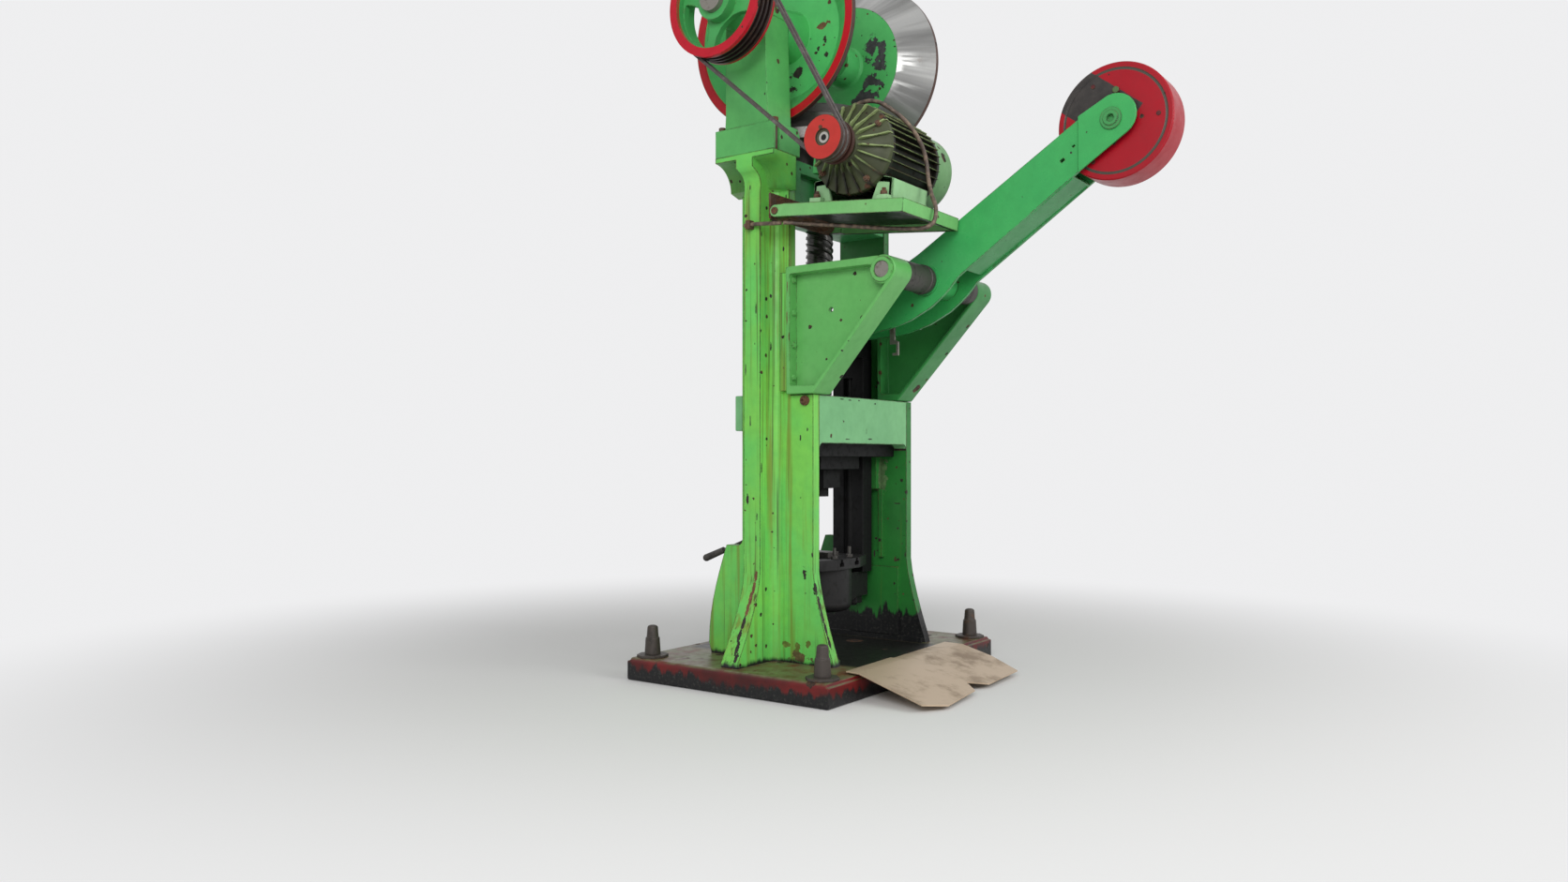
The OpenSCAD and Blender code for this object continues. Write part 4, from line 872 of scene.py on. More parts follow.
class Trees:
    """The geometry trees that make what repeats, each made at its first use, with named inputs for its sizes."""

    @staticmethod
    def _tree(name: str, **inputs: object) -> tuple[Graph, dict[str, Num], bpy.types.Node]:
        """Starts a geometry tree with a geometry input, a material and the given inputs."""
        return start_group("Geometry", name, {"Geometry": "Geometry", "Material": "Material", **inputs}, ("Geometry",))

    @staticmethod
    def _close(g: Graph, at: dict[str, Num], out: bpy.types.Node, shape: Num) -> bpy.types.NodeTree:
        """Ends a tree in Realize Instances and Set Material."""
        last = g.make("GeometryNodeRealizeInstances", {0: shape})
        g.fill(out, {0: g.make("GeometryNodeSetMaterial", {"Geometry": last, "Material": at["Material"]})})
        return g.tree

    @staticmethod
    def _piece(g: Graph, at: dict[str, Num]) -> bpy.types.NodeSocket:
        """The geometry of the object that is given as Piece."""
        info = g.node("GeometryNodeObjectInfo", {"Object": at["Piece"]}, transform_space="ORIGINAL")
        return info.outputs["Geometry"]

    @staticmethod
    def _copies(g: Graph, at: dict[str, Num], shape: Value, count: Num, turn: Num) -> Num:
        """Copies a shape at the origin, each copy with its own turn, and moves them to Centre."""
        placed = g.make("GeometryNodeInstanceOnPoints", {
            "Points": g.make("GeometryNodePoints", {"Count": count}), "Instance": shape,
            "Rotation": g.make("FunctionNodeEulerToRotation", {0: turn})})
        return g.make("GeometryNodeTransform", {"Geometry": placed, "Translation": at["Centre"]})

    @cached_property
    def ring_array(self) -> bpy.types.NodeTree:
        """Repeats a piece round an axis along X."""
        g, at, out = self._tree("ring array", Piece="Object", Count=12, Start=0.0, Step=0.5, Centre=(0.0, 0.0, 0.0))
        angle = at["Start"] + g.make("GeometryNodeInputIndex") * at["Step"]
        return self._close(g, at, out, self._copies(g, at, self._piece(g, at), at["Count"], g.join(angle, 0.0, 0.0)))

    @cached_property
    def fasteners(self) -> bpy.types.NodeTree:
        """Puts a piece on every point, turned by the point's own turn."""
        g, at, out = self._tree("fasteners", Piece="Object")
        turn = g.node("GeometryNodeInputNamedAttribute", {"Name": "turn"}, data_type="FLOAT_VECTOR")
        euler = g.make("FunctionNodeEulerToRotation", {0: turn.outputs["Attribute"]})
        placed = g.make("GeometryNodeInstanceOnPoints", {"Points": at["Geometry"], "Instance": self._piece(g, at),
                                                         "Rotation": euler})
        return self._close(g, at, out, placed)

    @cached_property
    def thread(self) -> bpy.types.NodeTree:
        """Winds ridges up an axis along Z, one for each start."""
        g, at, out = self._tree("thread", Starts=1, Lead=0.1, Length=0.5, Radius=0.06, Ridge=0.01,
                                Centre=(0.0, 0.0, 0.0))
        spiral = g.make("GeometryNodeCurveSpiral", {
            "Resolution": 40, "Rotations": at["Length"] / at["Lead"], "Start Radius": at["Radius"],
            "End Radius": at["Radius"], "Height": at["Length"]})
        section = g.make("GeometryNodeCurvePrimitiveCircle", {"Resolution": 4, "Radius": at["Ridge"]})
        ridge = g.make("GeometryNodeCurveToMesh", {"Curve": spiral, "Profile Curve": section, "Fill Caps": True})
        turn = g.make("GeometryNodeInputIndex") * (2 * math.pi / at["Starts"])
        return self._close(g, at, out, self._copies(g, at, ridge, at["Starts"], g.join(0.0, 0.0, turn)))

    @cached_property
    def weld_bead(self) -> bpy.types.NodeTree:
        """Lays overlapping drops of weld along the edges that it is given."""
        g, at, out = self._tree("weld bead", Width=0.008, Step=0.005, Seed=1)
        line = g.make("GeometryNodeMeshToCurve", {"Mesh": at["Geometry"]})
        even = g.make("GeometryNodeResampleCurve", {"Curve": line, "Length": at["Step"]}, mode="LENGTH")
        ball = g.make("GeometryNodeMeshIcoSphere", {"Subdivisions": 2, "Radius": at["Width"] * 0.5})
        drop = g.make("GeometryNodeSetShadeSmooth", {0: ball})
        size = g.outputs("FunctionNodeRandomValue", {2: 0.8, 3: 1.15, "Seed": at["Seed"]}, data_type="FLOAT")[1]
        placed = g.make("GeometryNodeInstanceOnPoints", {"Points": even, "Instance": drop, "Scale": size})
        return self._close(g, at, out, placed)

    @staticmethod
    def run(name: str, tree: bpy.types.NodeTree, base: bpy.types.Object, **values: object) -> bpy.types.Object:
        """Runs a tree on an object and returns its result as a plain mesh.

        Args:
            name: Name of the new object.
            tree: The geometry tree.
            base: The object that the tree starts from, which is used up.
            **values: Inputs of the tree by name.

        Returns:
            The new object.
        """
        modifier = base.modifiers.new(name, "NODES")
        modifier.node_group = tree
        for item in tree.interface.items_tree:
            if item.item_type == "SOCKET" and item.in_out == "INPUT" and item.name in values:
                modifier[item.identifier] = values[item.name]
        base.name = name
        return settle(base)


# --------------------------------------------------------------------------- the shop

Finish = Union[Paint, Iron, TurnedSteel, Rubber]


@dataclass
class Shop:
    """Holds the finishes and trees and puts finished pieces on their bodies."""

    effects: Effects = field(default_factory=Effects)
    trees: Trees = field(default_factory=Trees)
    node_body: dict[str, str] = field(default_factory=dict)
    node_slot: dict[str, str] = field(default_factory=dict)
    made: dict[str, bpy.types.Material] = field(default_factory=dict)

    def finish(self, kind: Finish) -> bpy.types.Material:
        """Builds a finish once and returns its material."""
        if kind.name not in self.made:
            self.made[kind.name] = kind.build(self.effects)
        return self.made[kind.name]

    def coat(self, piece: bpy.types.Object, kind: Finish) -> bpy.types.Object:
        """Gives a whole piece one finish."""
        piece.data.materials.clear()
        piece.data.materials.append(self.finish(kind))
        return piece

    def fit(self, piece: bpy.types.Object, node: str = "", body: str = "", slot: str = "") -> bpy.types.Object:
        """Puts a piece on a body, in place of a CAD node if one is given.

        Args:
            piece: The finished piece.
            node: CAD node that it stands for.
            body: Body that it rides on, if it stands for no node.
            slot: Material slot, if it stands for no node. Not used.

        Returns:
            The same piece.
        """
        body = body or self.node_body[node]
        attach(piece, body)
        if node:
            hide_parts(node)
        LOG.info("%s rides on %s", piece.name, body)
        return piece

    def castings(self, table: dict[str, tuple[str, Finish, float]]) -> None:
        """Makes a rounded piece in place of each CAD node, from a table of its name, finish and rounding."""
        for node, (name, kind, width) in table.items():
            self.fit(self.coat(soften(copy_of(node, name), width), kind), node)

    @staticmethod
    def spots(places: Sequence[tuple[Point, Point]] = (((0.0, 0.0, 0.0), (0.0, 0.0, 0.0)),)) -> bpy.types.Object:
        """Loose points, each with the turn of the piece that goes there, or one at the origin."""
        mesh = bpy.data.meshes.new("spots")
        mesh.from_pydata([p for p, _ in places], [], [])
        turn = mesh.attributes.new("turn", "FLOAT_VECTOR", "POINT")
        turn.data.foreach_set("vector", [v for _, t in places for v in t])
        return new_object("spots", mesh)

    def bead(self, name: str, line: Sequence[Point], width: float, kind: Paint, seed: int) -> bpy.types.Object:
        """Lays a weld bead along a line of points."""
        mesh = bpy.data.meshes.new(name)
        mesh.from_pydata(list(line), [(i, i + 1) for i in range(len(line) - 1)], [])
        return self.trees.run(name, self.trees.weld_bead, new_object(name, mesh), Width=width,
                              Step=0.55 * width, Seed=seed, Material=self.finish(kind))


def nut(name: str, flats: float, height: float, washer: float, stud: float) -> bpy.types.Object:
    """A hexagon nut with a chamfered crown on a washer, with the end of its stud.

    Args:
        name: Name of the object.
        flats: Width across its flats.
        height: Height of the nut.
        washer: Thickness of the washer.
        stud: How far the stud stands out of the nut.

    Returns:
        The nut, standing on the origin.
    """
    steps, turn, sixth = 24, 0.3, math.pi / 6
    outer, crown, tip = flats / 2 / math.cos(sixth), washer + height, washer + height + stud
    no_flats = 9.0  # flats so far out that only the round limit counts
    rings = ((no_flats, 1.22, 0.0), (no_flats, 1.22, 0.8 * washer), (no_flats, 1.17, washer), (1.0, 0.985, washer),
             (1.0, 1.0, washer + 0.1 * height), (1.0, 1.0, crown - 0.16 * height), (1.0, 0.87, crown),
             (no_flats, 0.5, crown), (no_flats, 0.5, tip - 0.1 * outer), (no_flats, 0.4, tip))
    points, faces = [], []
    for k, (flat, widest, z) in enumerate(rings):
        for i in range(steps):
            a, j = 2 * math.pi * i / steps, (i + 1) % steps
            r = outer * min(flat * math.cos(sixth) / math.cos(a % (2 * sixth) - sixth), widest)
            points.append((r * math.cos(a + turn), r * math.sin(a + turn), z))
            if k + 1 < len(rings):
                faces.append((k * steps + i, k * steps + j, (k + 1) * steps + j, (k + 1) * steps + i))
    last, middle = (len(rings) - 1) * steps, len(points)
    points += [(0.0, 0.0, 0.0), (0.0, 0.0, tip)]
    faces += [((i + 1) % steps, i, middle) for i in range(steps)]
    faces += [(last + i, last + (i + 1) % steps, middle + 1) for i in range(steps)]
    made = from_faces(name, points, faces)
    smooth(made, math.radians(28))
    return made


def marks_on(axis: Axis, level: float, color: Color, *spots: tuple[float, float, float, float]) -> tuple[Mark, ...]:
    """Small marks on an upright face.

    Args:
        axis: Axis that the face is square to, X or Y.
        level: Where the face lies along that axis.
        color: Colour of the marks.
        *spots: Place beside the axis and Z in metres, then width and height in millimetres.

    Returns:
        The marks.
    """
    half, deep = 0.0006, 0.012
    return tuple(Mark(laid(axis, level, beside, z), laid(axis, deep, half * wide, half * tall), color, 0.4)
                 for beside, z, wide, tall in spots)


# --------------------------------------------------------------------------- the press's own finishes

CHIP = (0.026, 0.021, 0.018)
GREY_CHIP = (0.04, 0.039, 0.042)
RUST = (0.13, 0.06, 0.032)
STAIN = (0.115, 0.15, 0.03)
LEFT_WEB = Paint(
    "left web enamel", (0.14, 0.59, 0.12), (0.2, 0.6, 0.09), chips=0.34, edges=1.0, runs=1.0, runs_span=(0.1, 2.3),
    oil=0.118, oil_ragged=0.022,
    marks=(
        Mark((-0.46, 0.085, 0.8), (0.07, 0.045, 0.065), RUST, 0.7),
        Mark((-0.437, -0.212, 0.5), (0.03, 0.009, 0.028), CHIP, 0.8),
        Mark((-0.437, -0.19, 0.128), (0.04, 0.07, 0.03), (0.1, 0.075, 0.03), 0.8),
        Mark((-0.437, -0.233, 0.188), (0.02, 0.017, 0.024), STAIN, 0.8),
        Mark((-0.437, -0.178, 0.174), (0.02, 0.017, 0.022), STAIN, 0.8),
        Mark((-0.437, -0.113, 0.176), (0.02, 0.024, 0.018), STAIN, 0.9),
        Mark((-0.449, -0.06, 2.061), (0.018, 0.018, 0.015), CHIP, 0.6),
        Mark((-0.545, -0.024, 0.484), (0.02, 0.01, 0.03), RUST, 0.4),
        Mark((-0.552, -0.02, 0.436), (0.024, 0.01, 0.04), RUST, 0.3),
        Mark((-0.565, -0.013, 0.388), (0.026, 0.011, 0.042), RUST, 0.3),
        Mark((-0.584, -0.009, 0.339), (0.028, 0.011, 0.042), RUST, 0.3),
        Mark((-0.608, -0.007, 0.287), (0.032, 0.011, 0.044), CHIP, 0.3),
        Mark((-0.634, -0.005, 0.233), (0.034, 0.011, 0.044), CHIP, 0.3),
        Mark((-0.663, -0.014, 0.181), (0.036, 0.012, 0.042), CHIP, 0.3),
        Mark((-0.685, -0.025, 0.145), (0.034, 0.012, 0.03), CHIP, 0.4),
        Mark((-0.431, -0.268, 0.435), (0.01, 0.018, 0.04), CHIP, 0.3),
        Mark((-0.427, -0.283, 0.372), (0.011, 0.022, 0.046), CHIP, 0.3),
        Mark((-0.424, -0.298, 0.314), (0.011, 0.022, 0.044), CHIP, 0.3),
        Mark((-0.421, -0.313, 0.262), (0.011, 0.022, 0.042), CHIP, 0.3),
        Mark((-0.42, -0.332, 0.205), (0.011, 0.024, 0.044), CHIP, 0.3),
        *marks_on(
            Axis.X, -0.4365, CHIP, (-0.191, 1.0925, 8, 26), (-0.228, 1.129, 8, 17), (-0.1, 1.931, 10, 18),
            (-0.113, 2.16, 6, 22), (-0.191, 0.829, 7, 6), (-0.253, 0.5815, 9, 17), (-0.218, 0.412, 6, 7)),
        *marks_on(
            Axis.X, -0.5365, CHIP, (0.025, 0.8195, 15, 46), (-0.027, 0.746, 6, 33), (-0.022, 0.647, 6, 29),
            (-0.022, 1.658, 6, 58), (0.0355, 1.393, 6, 58), (0.0095, 1.164, 6, 50), (0.0125, 2.2, 7, 24)),
        *marks_on(
            Axis.Y, -0.0475, CHIP, (-0.463, 1.722, 12, 18), (-0.463, 1.4975, 8, 42), (-0.5265, 1.987, 8, 25),
            (-0.5265, 0.957, 8, 50))))
# The same green paint as the left web, darkened as painted shade on the web's shaded inner face; the black at its foot
# is oil.
RIGHT_WEB_IN_SHADE = Paint(
    "right web enamel", (0.026, 0.2, 0.036), (0.018, 0.14, 0.026), chips=0.7, edges=0.9, runs=0.5,
    runs_span=(0.25, 1.1), oil=0.235, oil_ragged=0.085,
    marks=(
        Mark((0.389, -0.33, 0.8), (0.03, 0.07, 0.014), CHIP, 0.7),
        Mark((0.389, -0.1, 0.95), (0.03, 0.05, 0.12), (0.07, 0.13, 0.05), 0.9),
        *marks_on(
            Axis.X, 0.3885, CHIP, (-0.075, 0.5245, 10, 34), (-0.208, 0.778, 40, 6), (-0.211, 0.654, 13, 11),
            (-0.251, 0.524, 6, 24), (-0.138, 0.697, 6, 5), (-0.235, 0.579, 7, 6), (-0.2135, 0.503, 7, 6),
            (-0.298, 0.304, 9, 9)),
        *marks_on(Axis.Y, -0.258, CHIP, (0.394, 0.835, 15, 19), (0.394, 0.691, 12, 10), (0.423, 1.25, 11, 7))))
APRON = Paint(
    "apron enamel", (0.2, 0.5, 0.22), (0.165, 0.43, 0.19), chips=0.22, edges=0.95, runs=0.35, runs_span=(1.0, 1.3),
    marks=marks_on(
        Axis.Y, -0.258, CHIP, (-0.157, 1.089, 36, 5), (0.04, 1.092, 38, 6), (-0.202, 1.27, 36, 5),
        (-0.138, 1.268, 29, 5), (-0.057, 1.269, 22, 5), (0.087, 1.26, 15, 7), (0.01, 1.129, 4, 27)))
PEDESTAL = Paint(
    "pedestal enamel", (0.105, 0.43, 0.115), (0.08, 0.37, 0.1), chips=0.2, edges=0.6, runs=0.3, runs_span=(2.3, 3.2),
    marks=marks_on(Axis.X, -0.586, CHIP, (-0.108, 2.577, 6, 12), (-0.118, 2.625, 4, 5)))
CROWN = Paint(
    "crown enamel", (0.06, 0.36, 0.105), (0.04, 0.28, 0.085), chips=0.3, edges=0.6, runs=0.3, runs_span=(1.4, 2.4))
BRACKET = Paint(
    "bracket enamel", (0.12, 0.43, 0.108), (0.145, 0.455, 0.125), chips=0.07, edges=0.62, runs=0.35,
    runs_span=(1.25, 1.9), gloss=0.28,
    marks=(
        # The near-black patch is painted shade standing for a hole in the bracket's panel.
        Mark((-0.47, -0.372, 1.638), (0.02, 0.013, 0.013), (0.008, 0.008, 0.007), 0.2),
        *marks_on(Axis.X, -0.47, CHIP, (-0.427, 1.459, 7, 8), (-0.46, 1.499, 5, 6)),
        *marks_on(Axis.X, -0.473, RUST, (-0.146, 1.758, 4, 57), (-0.1435, 1.615, 5, 58), (-0.154, 1.532, 4, 41))))
# The same bracket paint, darkened as painted shade on the far bracket's shaded side.
FAR_BRACKET_IN_SHADE = Paint(
    "right bracket enamel", (0.045, 0.28, 0.065), (0.035, 0.22, 0.055), chips=0.2, edges=0.6, gloss=0.3)
# The lever's downward faces are partly darkened as painted shade (under).
ARM = Paint(
    "lever enamel", (0.055, 0.41, 0.11), (0.042, 0.37, 0.1), chips=0.08, edges=0.55, gloss=0.26, dirt=0.3, under=0.3,
    marks=marks_on(Axis.X, -0.1, CHIP, (-1.293, 2.243, 9, 9), (-0.707, 1.861, 6, 6), (-1.082, 2.093, 5, 5)))
PIN = Paint(
    "pin enamel", (0.06, 0.33, 0.095), (0.05, 0.26, 0.08), chips=0.4, edges=0.9, gloss=0.3,
    boxes=(Box((-0.09, -3.0, 1.0), (0.3, 0.5, 4.0), (0.1, 0.012, 0.016), 0.004),))
DRIVE = Paint("drive enamel", (0.082, 0.44, 0.118), (0.062, 0.38, 0.105), chips=0.2, edges=0.5)
# The motor plate's downward faces are darkened almost to black as painted shade (under).
PLATE = Paint("motor plate enamel", (0.18, 0.5, 0.16), (0.215, 0.5, 0.18), chips=0.2, edges=0.9, dirt=0.95, under=0.97)
LEFT_CONE = Paint(
    "left cone enamel", (0.105, 0.56, 0.155), (0.085, 0.5, 0.14), chips=0.16, edges=0.4,
    rings=(
        Ring(0.0, SHAFT_Z, (0.391, 0.4315), (-0.402, -0.36), (0.5, 0.006, 0.016)),
        Ring(0.0, SHAFT_Z, (0.4315, 0.46), (-0.41, -0.2), (0.06, 0.022, 0.016))),
    marks=(
        Mark((-0.275, -0.195, 2.957), (0.04, 0.034, 0.02), RUST, 0.8),
        Mark((-0.275, -0.206, 2.89), (0.04, 0.012, 0.02), CHIP, 0.6),
        Mark((-0.275, -0.169, 2.856), (0.04, 0.01, 0.012), CHIP, 0.5),
        Mark((-0.275, -0.213, 2.82), (0.04, 0.015, 0.015), CHIP, 0.3),
        Mark((-0.262, -0.163, 2.859), (0.03, 0.004, 0.005), CHIP, 0.4),
        Mark((-0.262, -0.259, 2.886), (0.03, 0.004, 0.004), CHIP, 0.4),
        Mark((-0.275, -0.052, 2.765), (0.04, 0.036, 0.026), CHIP, 1.0),
        Mark((-0.275, -0.022, 2.697), (0.04, 0.03, 0.014), CHIP, 1.0)))
RIGHT_CONE = Paint(
    "right cone enamel", (0.095, 0.5, 0.14), (0.07, 0.42, 0.115), chips=0.5, edges=0.5,
    rings=(Ring(0.0, SHAFT_Z, (0.425, 0.46), (0.2, 0.41), (0.07, 0.03, 0.02)),),
    marks=(
        Mark((0.232, -0.143, 3.01), (0.03, 0.046, 0.04), GREY_CHIP, 1.3),
        Mark((0.232, -0.209, 3.004), (0.03, 0.028, 0.034), GREY_CHIP, 1.3),
        Mark((0.232, -0.19, 2.93), (0.03, 0.04, 0.04), GREY_CHIP, 1.3),
        Mark((0.232, -0.16, 2.85), (0.03, 0.045, 0.048), GREY_CHIP, 1.3),
        Mark((0.232, -0.107, 2.768), (0.03, 0.085, 0.034), GREY_CHIP, 1.3)))
PULLEY = Paint(
    "belt pulley enamel", (0.085, 0.43, 0.118), (0.062, 0.36, 0.1), chips=0.16, edges=0.5,
    rings=(
        Ring(0.0, SHAFT_Z, (0.2015, 0.25), (-0.815, -0.7925), (0.5, 0.005, 0.02)),
        Ring(0.0, SHAFT_Z, (0.206, 0.25), (-0.7925, -0.704), (0.022, 0.013, 0.012)),
        Ring(0.0, SHAFT_Z, (0.206, 0.25), (-0.704, -0.68), (0.36, 0.008, 0.018))),
    marks=(Mark((-0.79, -0.065, 2.86), (0.06, 0.012, 0.01), RUST, 0.5),))
MOTOR_PULLEY = Paint(
    "motor pulley enamel", (0.06, 0.024, 0.018), (0.04, 0.02, 0.016), chips=0.1, edges=0.2,
    rings=(
        Ring(MOTOR_Y, MOTOR_Z, (0.034, 0.0862), (-0.83, -0.8), (0.5, 0.034, 0.026)),
        Ring(MOTOR_Y, MOTOR_Z, (0.0, 0.034), (-0.83, -0.76), (0.1, 0.095, 0.06)),
        Ring(MOTOR_Y, MOTOR_Z, (0.012, 0.022), (-0.83, -0.76), (0.42, 0.41, 0.38)),
        # The near-black disc at the centre is painted shade standing for the hollow shaft end.
        Ring(MOTOR_Y, MOTOR_Z, (0.0, 0.012), (-0.83, -0.76), (0.004, 0.004, 0.004))))
OLIVE = Paint(
    "motor enamel", (0.18, 0.25, 0.085), (0.27, 0.34, 0.15), chips=0.45, edges=0.5, dirt=0.25, gloss=0.42,
    # The ring paints the fins near-black up to close to their tips as painted shade between the fins.
    rings=(Ring(MOTOR_Y, MOTOR_Z, (0.15, 0.1835), (-0.575, -0.16), (0.01, 0.01, 0.006)),),
    # The box darkens the motor's lower part as painted shade under the motor.
    boxes=(Box((-0.7, -0.9, 2.0), (0.0, 0.0, 2.185), (0.012, 0.013, 0.008), 0.045),))
# The dome shows between the ribs; its near-black colour is painted shade between the ribs.
BELL_SHADOW = Paint(
    "motor dome enamel", (0.036, 0.042, 0.018), (0.064, 0.076, 0.032), chips=0.5, edges=0.3, dirt=0.2, gloss=0.45)
FOOT = Paint("motor foot enamel", (0.3, 0.56, 0.26), (0.34, 0.6, 0.33), chips=0.2, edges=0.6, dirt=0.9)
COVER = Paint(
    "fan cover enamel", (0.19, 0.42, 0.17), (0.12, 0.27, 0.1), chips=0.34, edges=0.5, dirt=0.2,
    marks=(Mark((-0.02, -0.66, 2.33), (0.06, 0.04, 0.06), (0.2, 0.12, 0.06), 0.9),))
WHEEL = Paint(
    "wheel enamel", (0.37, 0.002, 0.012), (0.33, 0.002, 0.011), chips=0.03, edges=0.12, gloss=0.3, dirt=0.25,
    rings=(Ring(WHEEL_Y, WHEEL_Z, (0.2015, 0.2125), (-0.09, -0.05), (0.075, 0.07, 0.055)),))
BED = Paint(
    "bed enamel", (0.16, 0.011, 0.011), (0.05, 0.008, 0.008), chips=0.8, edges=0.95, dirt=1.25, oil=0.056,
    oil_ragged=0.06, chip_size=0.03, dust=(0.135, 0.138, 0.064),
    # The box darkens the bed's top between the side frames as painted shade.
    boxes=(Box((-0.37, -0.5, 0.0), (0.37, 0.5, 0.2), (0.008, 0.008, 0.007), 0.03),))
BLACK_IRON = Iron("oily black iron", (0.06, 0.055, 0.05), (0.02, 0.018, 0.017), 0.35, 0.5, 0.6, 0.15)
# Black iron of the yoke, made darker still as painted shade for the shaded window of the frame.
YOKE_IRON_IN_SHADE = Iron("yoke black iron", (0.014, 0.0135, 0.014), (0.006, 0.006, 0.006), 0.15, 0.45, 0.6, 0.05, shine=0.3)
# Black oily iron, darkened further as painted shade for the parts under the apron inside the frame.
OILY_IRON_IN_SHADE = Iron("soot black iron", (0.006, 0.006, 0.0065), (0.003, 0.003, 0.003), 0.1, 0.55, 0.6, 0.0, shine=0.2)
ANCHOR = Iron("rusty black iron", (0.048, 0.038, 0.032), (0.022, 0.018, 0.015), 0.2, 0.55, 0.5, 0.36)
RUSTY = Iron("rusty steel", (0.1, 0.066, 0.046), (0.06, 0.036, 0.024), 0.2, 0.6, 0.5, 0.85)
DULL = Iron("worn steel", (0.23, 0.215, 0.19), (0.1, 0.08, 0.06), 0.5, 0.4, 0.5, 0.3)
GREASED = Iron("greased steel", (0.05, 0.047, 0.043), (0.014, 0.013, 0.012), 0.5, 0.28, 0.6, 0.0)
BRONZE = Iron("bearing bronze", (0.36, 0.23, 0.085), (0.12, 0.07, 0.03), 0.7, 0.35, 0.5, 0.0)
SHEET = Iron("sheet steel", (0.52, 0.4, 0.28), (0.28, 0.205, 0.14), 0.35, 0.42, 0.6, 0.22, 4.0)
CONE_FACE = TurnedSteel("turned cone face", (0.0, 0.0, SHAFT_Z))
WHEEL_RIM = Iron("turned flywheel", (0.125, 0.118, 0.11), (0.072, 0.064, 0.056), 0.8, 0.34, 0.5, 0.04, 40.0)
BELT = Rubber("belt rubber", (0.055, 0.045, 0.042), (0.15, 0.13, 0.125), 0.5)
CABLE = Rubber("cable rubber", (0.06, 0.04, 0.03), (0.24, 0.17, 0.12), 0.7, 0.5)


# --------------------------------------------------------------------------- sub-assemblies


@dataclass
class SubAssembly:
    """A group of pieces that belong together. Its table names the CAD nodes that need rounded edges alone."""

    shop: Shop
    table: ClassVar[dict[str, tuple[str, Finish, float]]] = {}

    def build(self) -> None:
        """Makes the pieces of the table."""
        self.shop.castings(self.table)


@dataclass
class BedAndAnchors(SubAssembly):
    """The bed plate with its four anchors."""

    washer: float = 0.072
    washer_t: float = 0.012
    bed_top: float = 0.100
    turn: float = 0.4
    table = {"bed": ("bed_plate", BED, 0.006)}

    def anchor(self) -> bpy.types.Object:
        """An anchor's washer, collar and stepped cap, standing on the origin."""
        collar = turned("collar", [(0.0, self.washer_t), (0.036, self.washer_t), (0.036, 0.020), (0.0325, 0.080),
                                   (0.0315, 0.088), (0.028, 0.089), (0.0265, 0.100), (0.024, 0.134),
                                   (0.020, 0.1405), (0.012, 0.1435), (0.0, 0.144)], Axis.Z, (0, 0, 0), 40)
        corners = (math.pi / 8 + i * math.pi / 4 for i in range(8))
        washer = prism("washer", [(self.washer * math.cos(a), self.washer * math.sin(a)) for a in corners],
                       Axis.Z, 0.0, self.washer_t)
        return soften(joined("anchor", [collar, washer]), 0.002)

    def build(self) -> None:
        """Makes the bed and the anchors."""
        super().build()
        middles = sorted({(round((low.x + high.x) / 2, 3), round((low.y + high.y) / 2, 3))
                          for low, high in islands("anchor_bolts")})
        places = [((x, y, self.bed_top), (0.0, 0.0, self.turn * i)) for i, (x, y) in enumerate(middles)]
        anchor = self.anchor()
        piece = self.shop.trees.run("anchor_studs", self.shop.trees.fasteners, self.shop.spots(places), Piece=anchor,
                                    Material=self.shop.finish(ANCHOR))
        bpy.data.objects.remove(anchor)
        self.shop.fit(piece, "anchor_bolts")


@dataclass
class FrameCastings(SubAssembly):
    """The side frames, the aprons, the beams, the pedestals and the brackets."""

    table = {
        "left_side_frame": ("left_frame", LEFT_WEB, 0.006), "right_side_frame": ("right_frame", RIGHT_WEB_IN_SHADE, 0.006),
        "front_apron": ("apron", APRON, 0.005), "rear_apron": ("back_apron", APRON, 0.005),
        "fixed_beam": ("beam", OILY_IRON_IN_SHADE, 0.005), "crown_beam": ("crown", CROWN, 0.005),
        "guide_gibs": ("gibs", RIGHT_WEB_IN_SHADE, 0.002), "tool_holder": ("tool_block", OILY_IRON_IN_SHADE, 0.003),
        "left_bracket": ("near_bracket", BRACKET, 0.005), "right_bracket": ("far_bracket", FAR_BRACKET_IN_SHADE, 0.005),
        "left_pedestal": ("near_pedestal", PEDESTAL, 0.005), "right_pedestal": ("far_pedestal", PEDESTAL, 0.005),
        "bearing_caps": ("caps", PEDESTAL, 0.004), "bearing_bushes": ("bushes", BRONZE, 0.001),
        "frame_lugs": ("lugs", RUSTY, 0.0015), "pivot_shaft": ("pivot", DULL, 0.003),
        "hinge_bracket": ("hinge_lugs", RUSTY, 0.002), "hinge_pin": ("hinge_bar", RUSTY, 0.001),
        "lever_stand": ("stand", BLACK_IRON, 0.001), "cap_bolts": ("cap_studs", RUSTY, 0.0015),
        "bracket_bolts": ("bracket_screws", BRACKET, 0.001)}


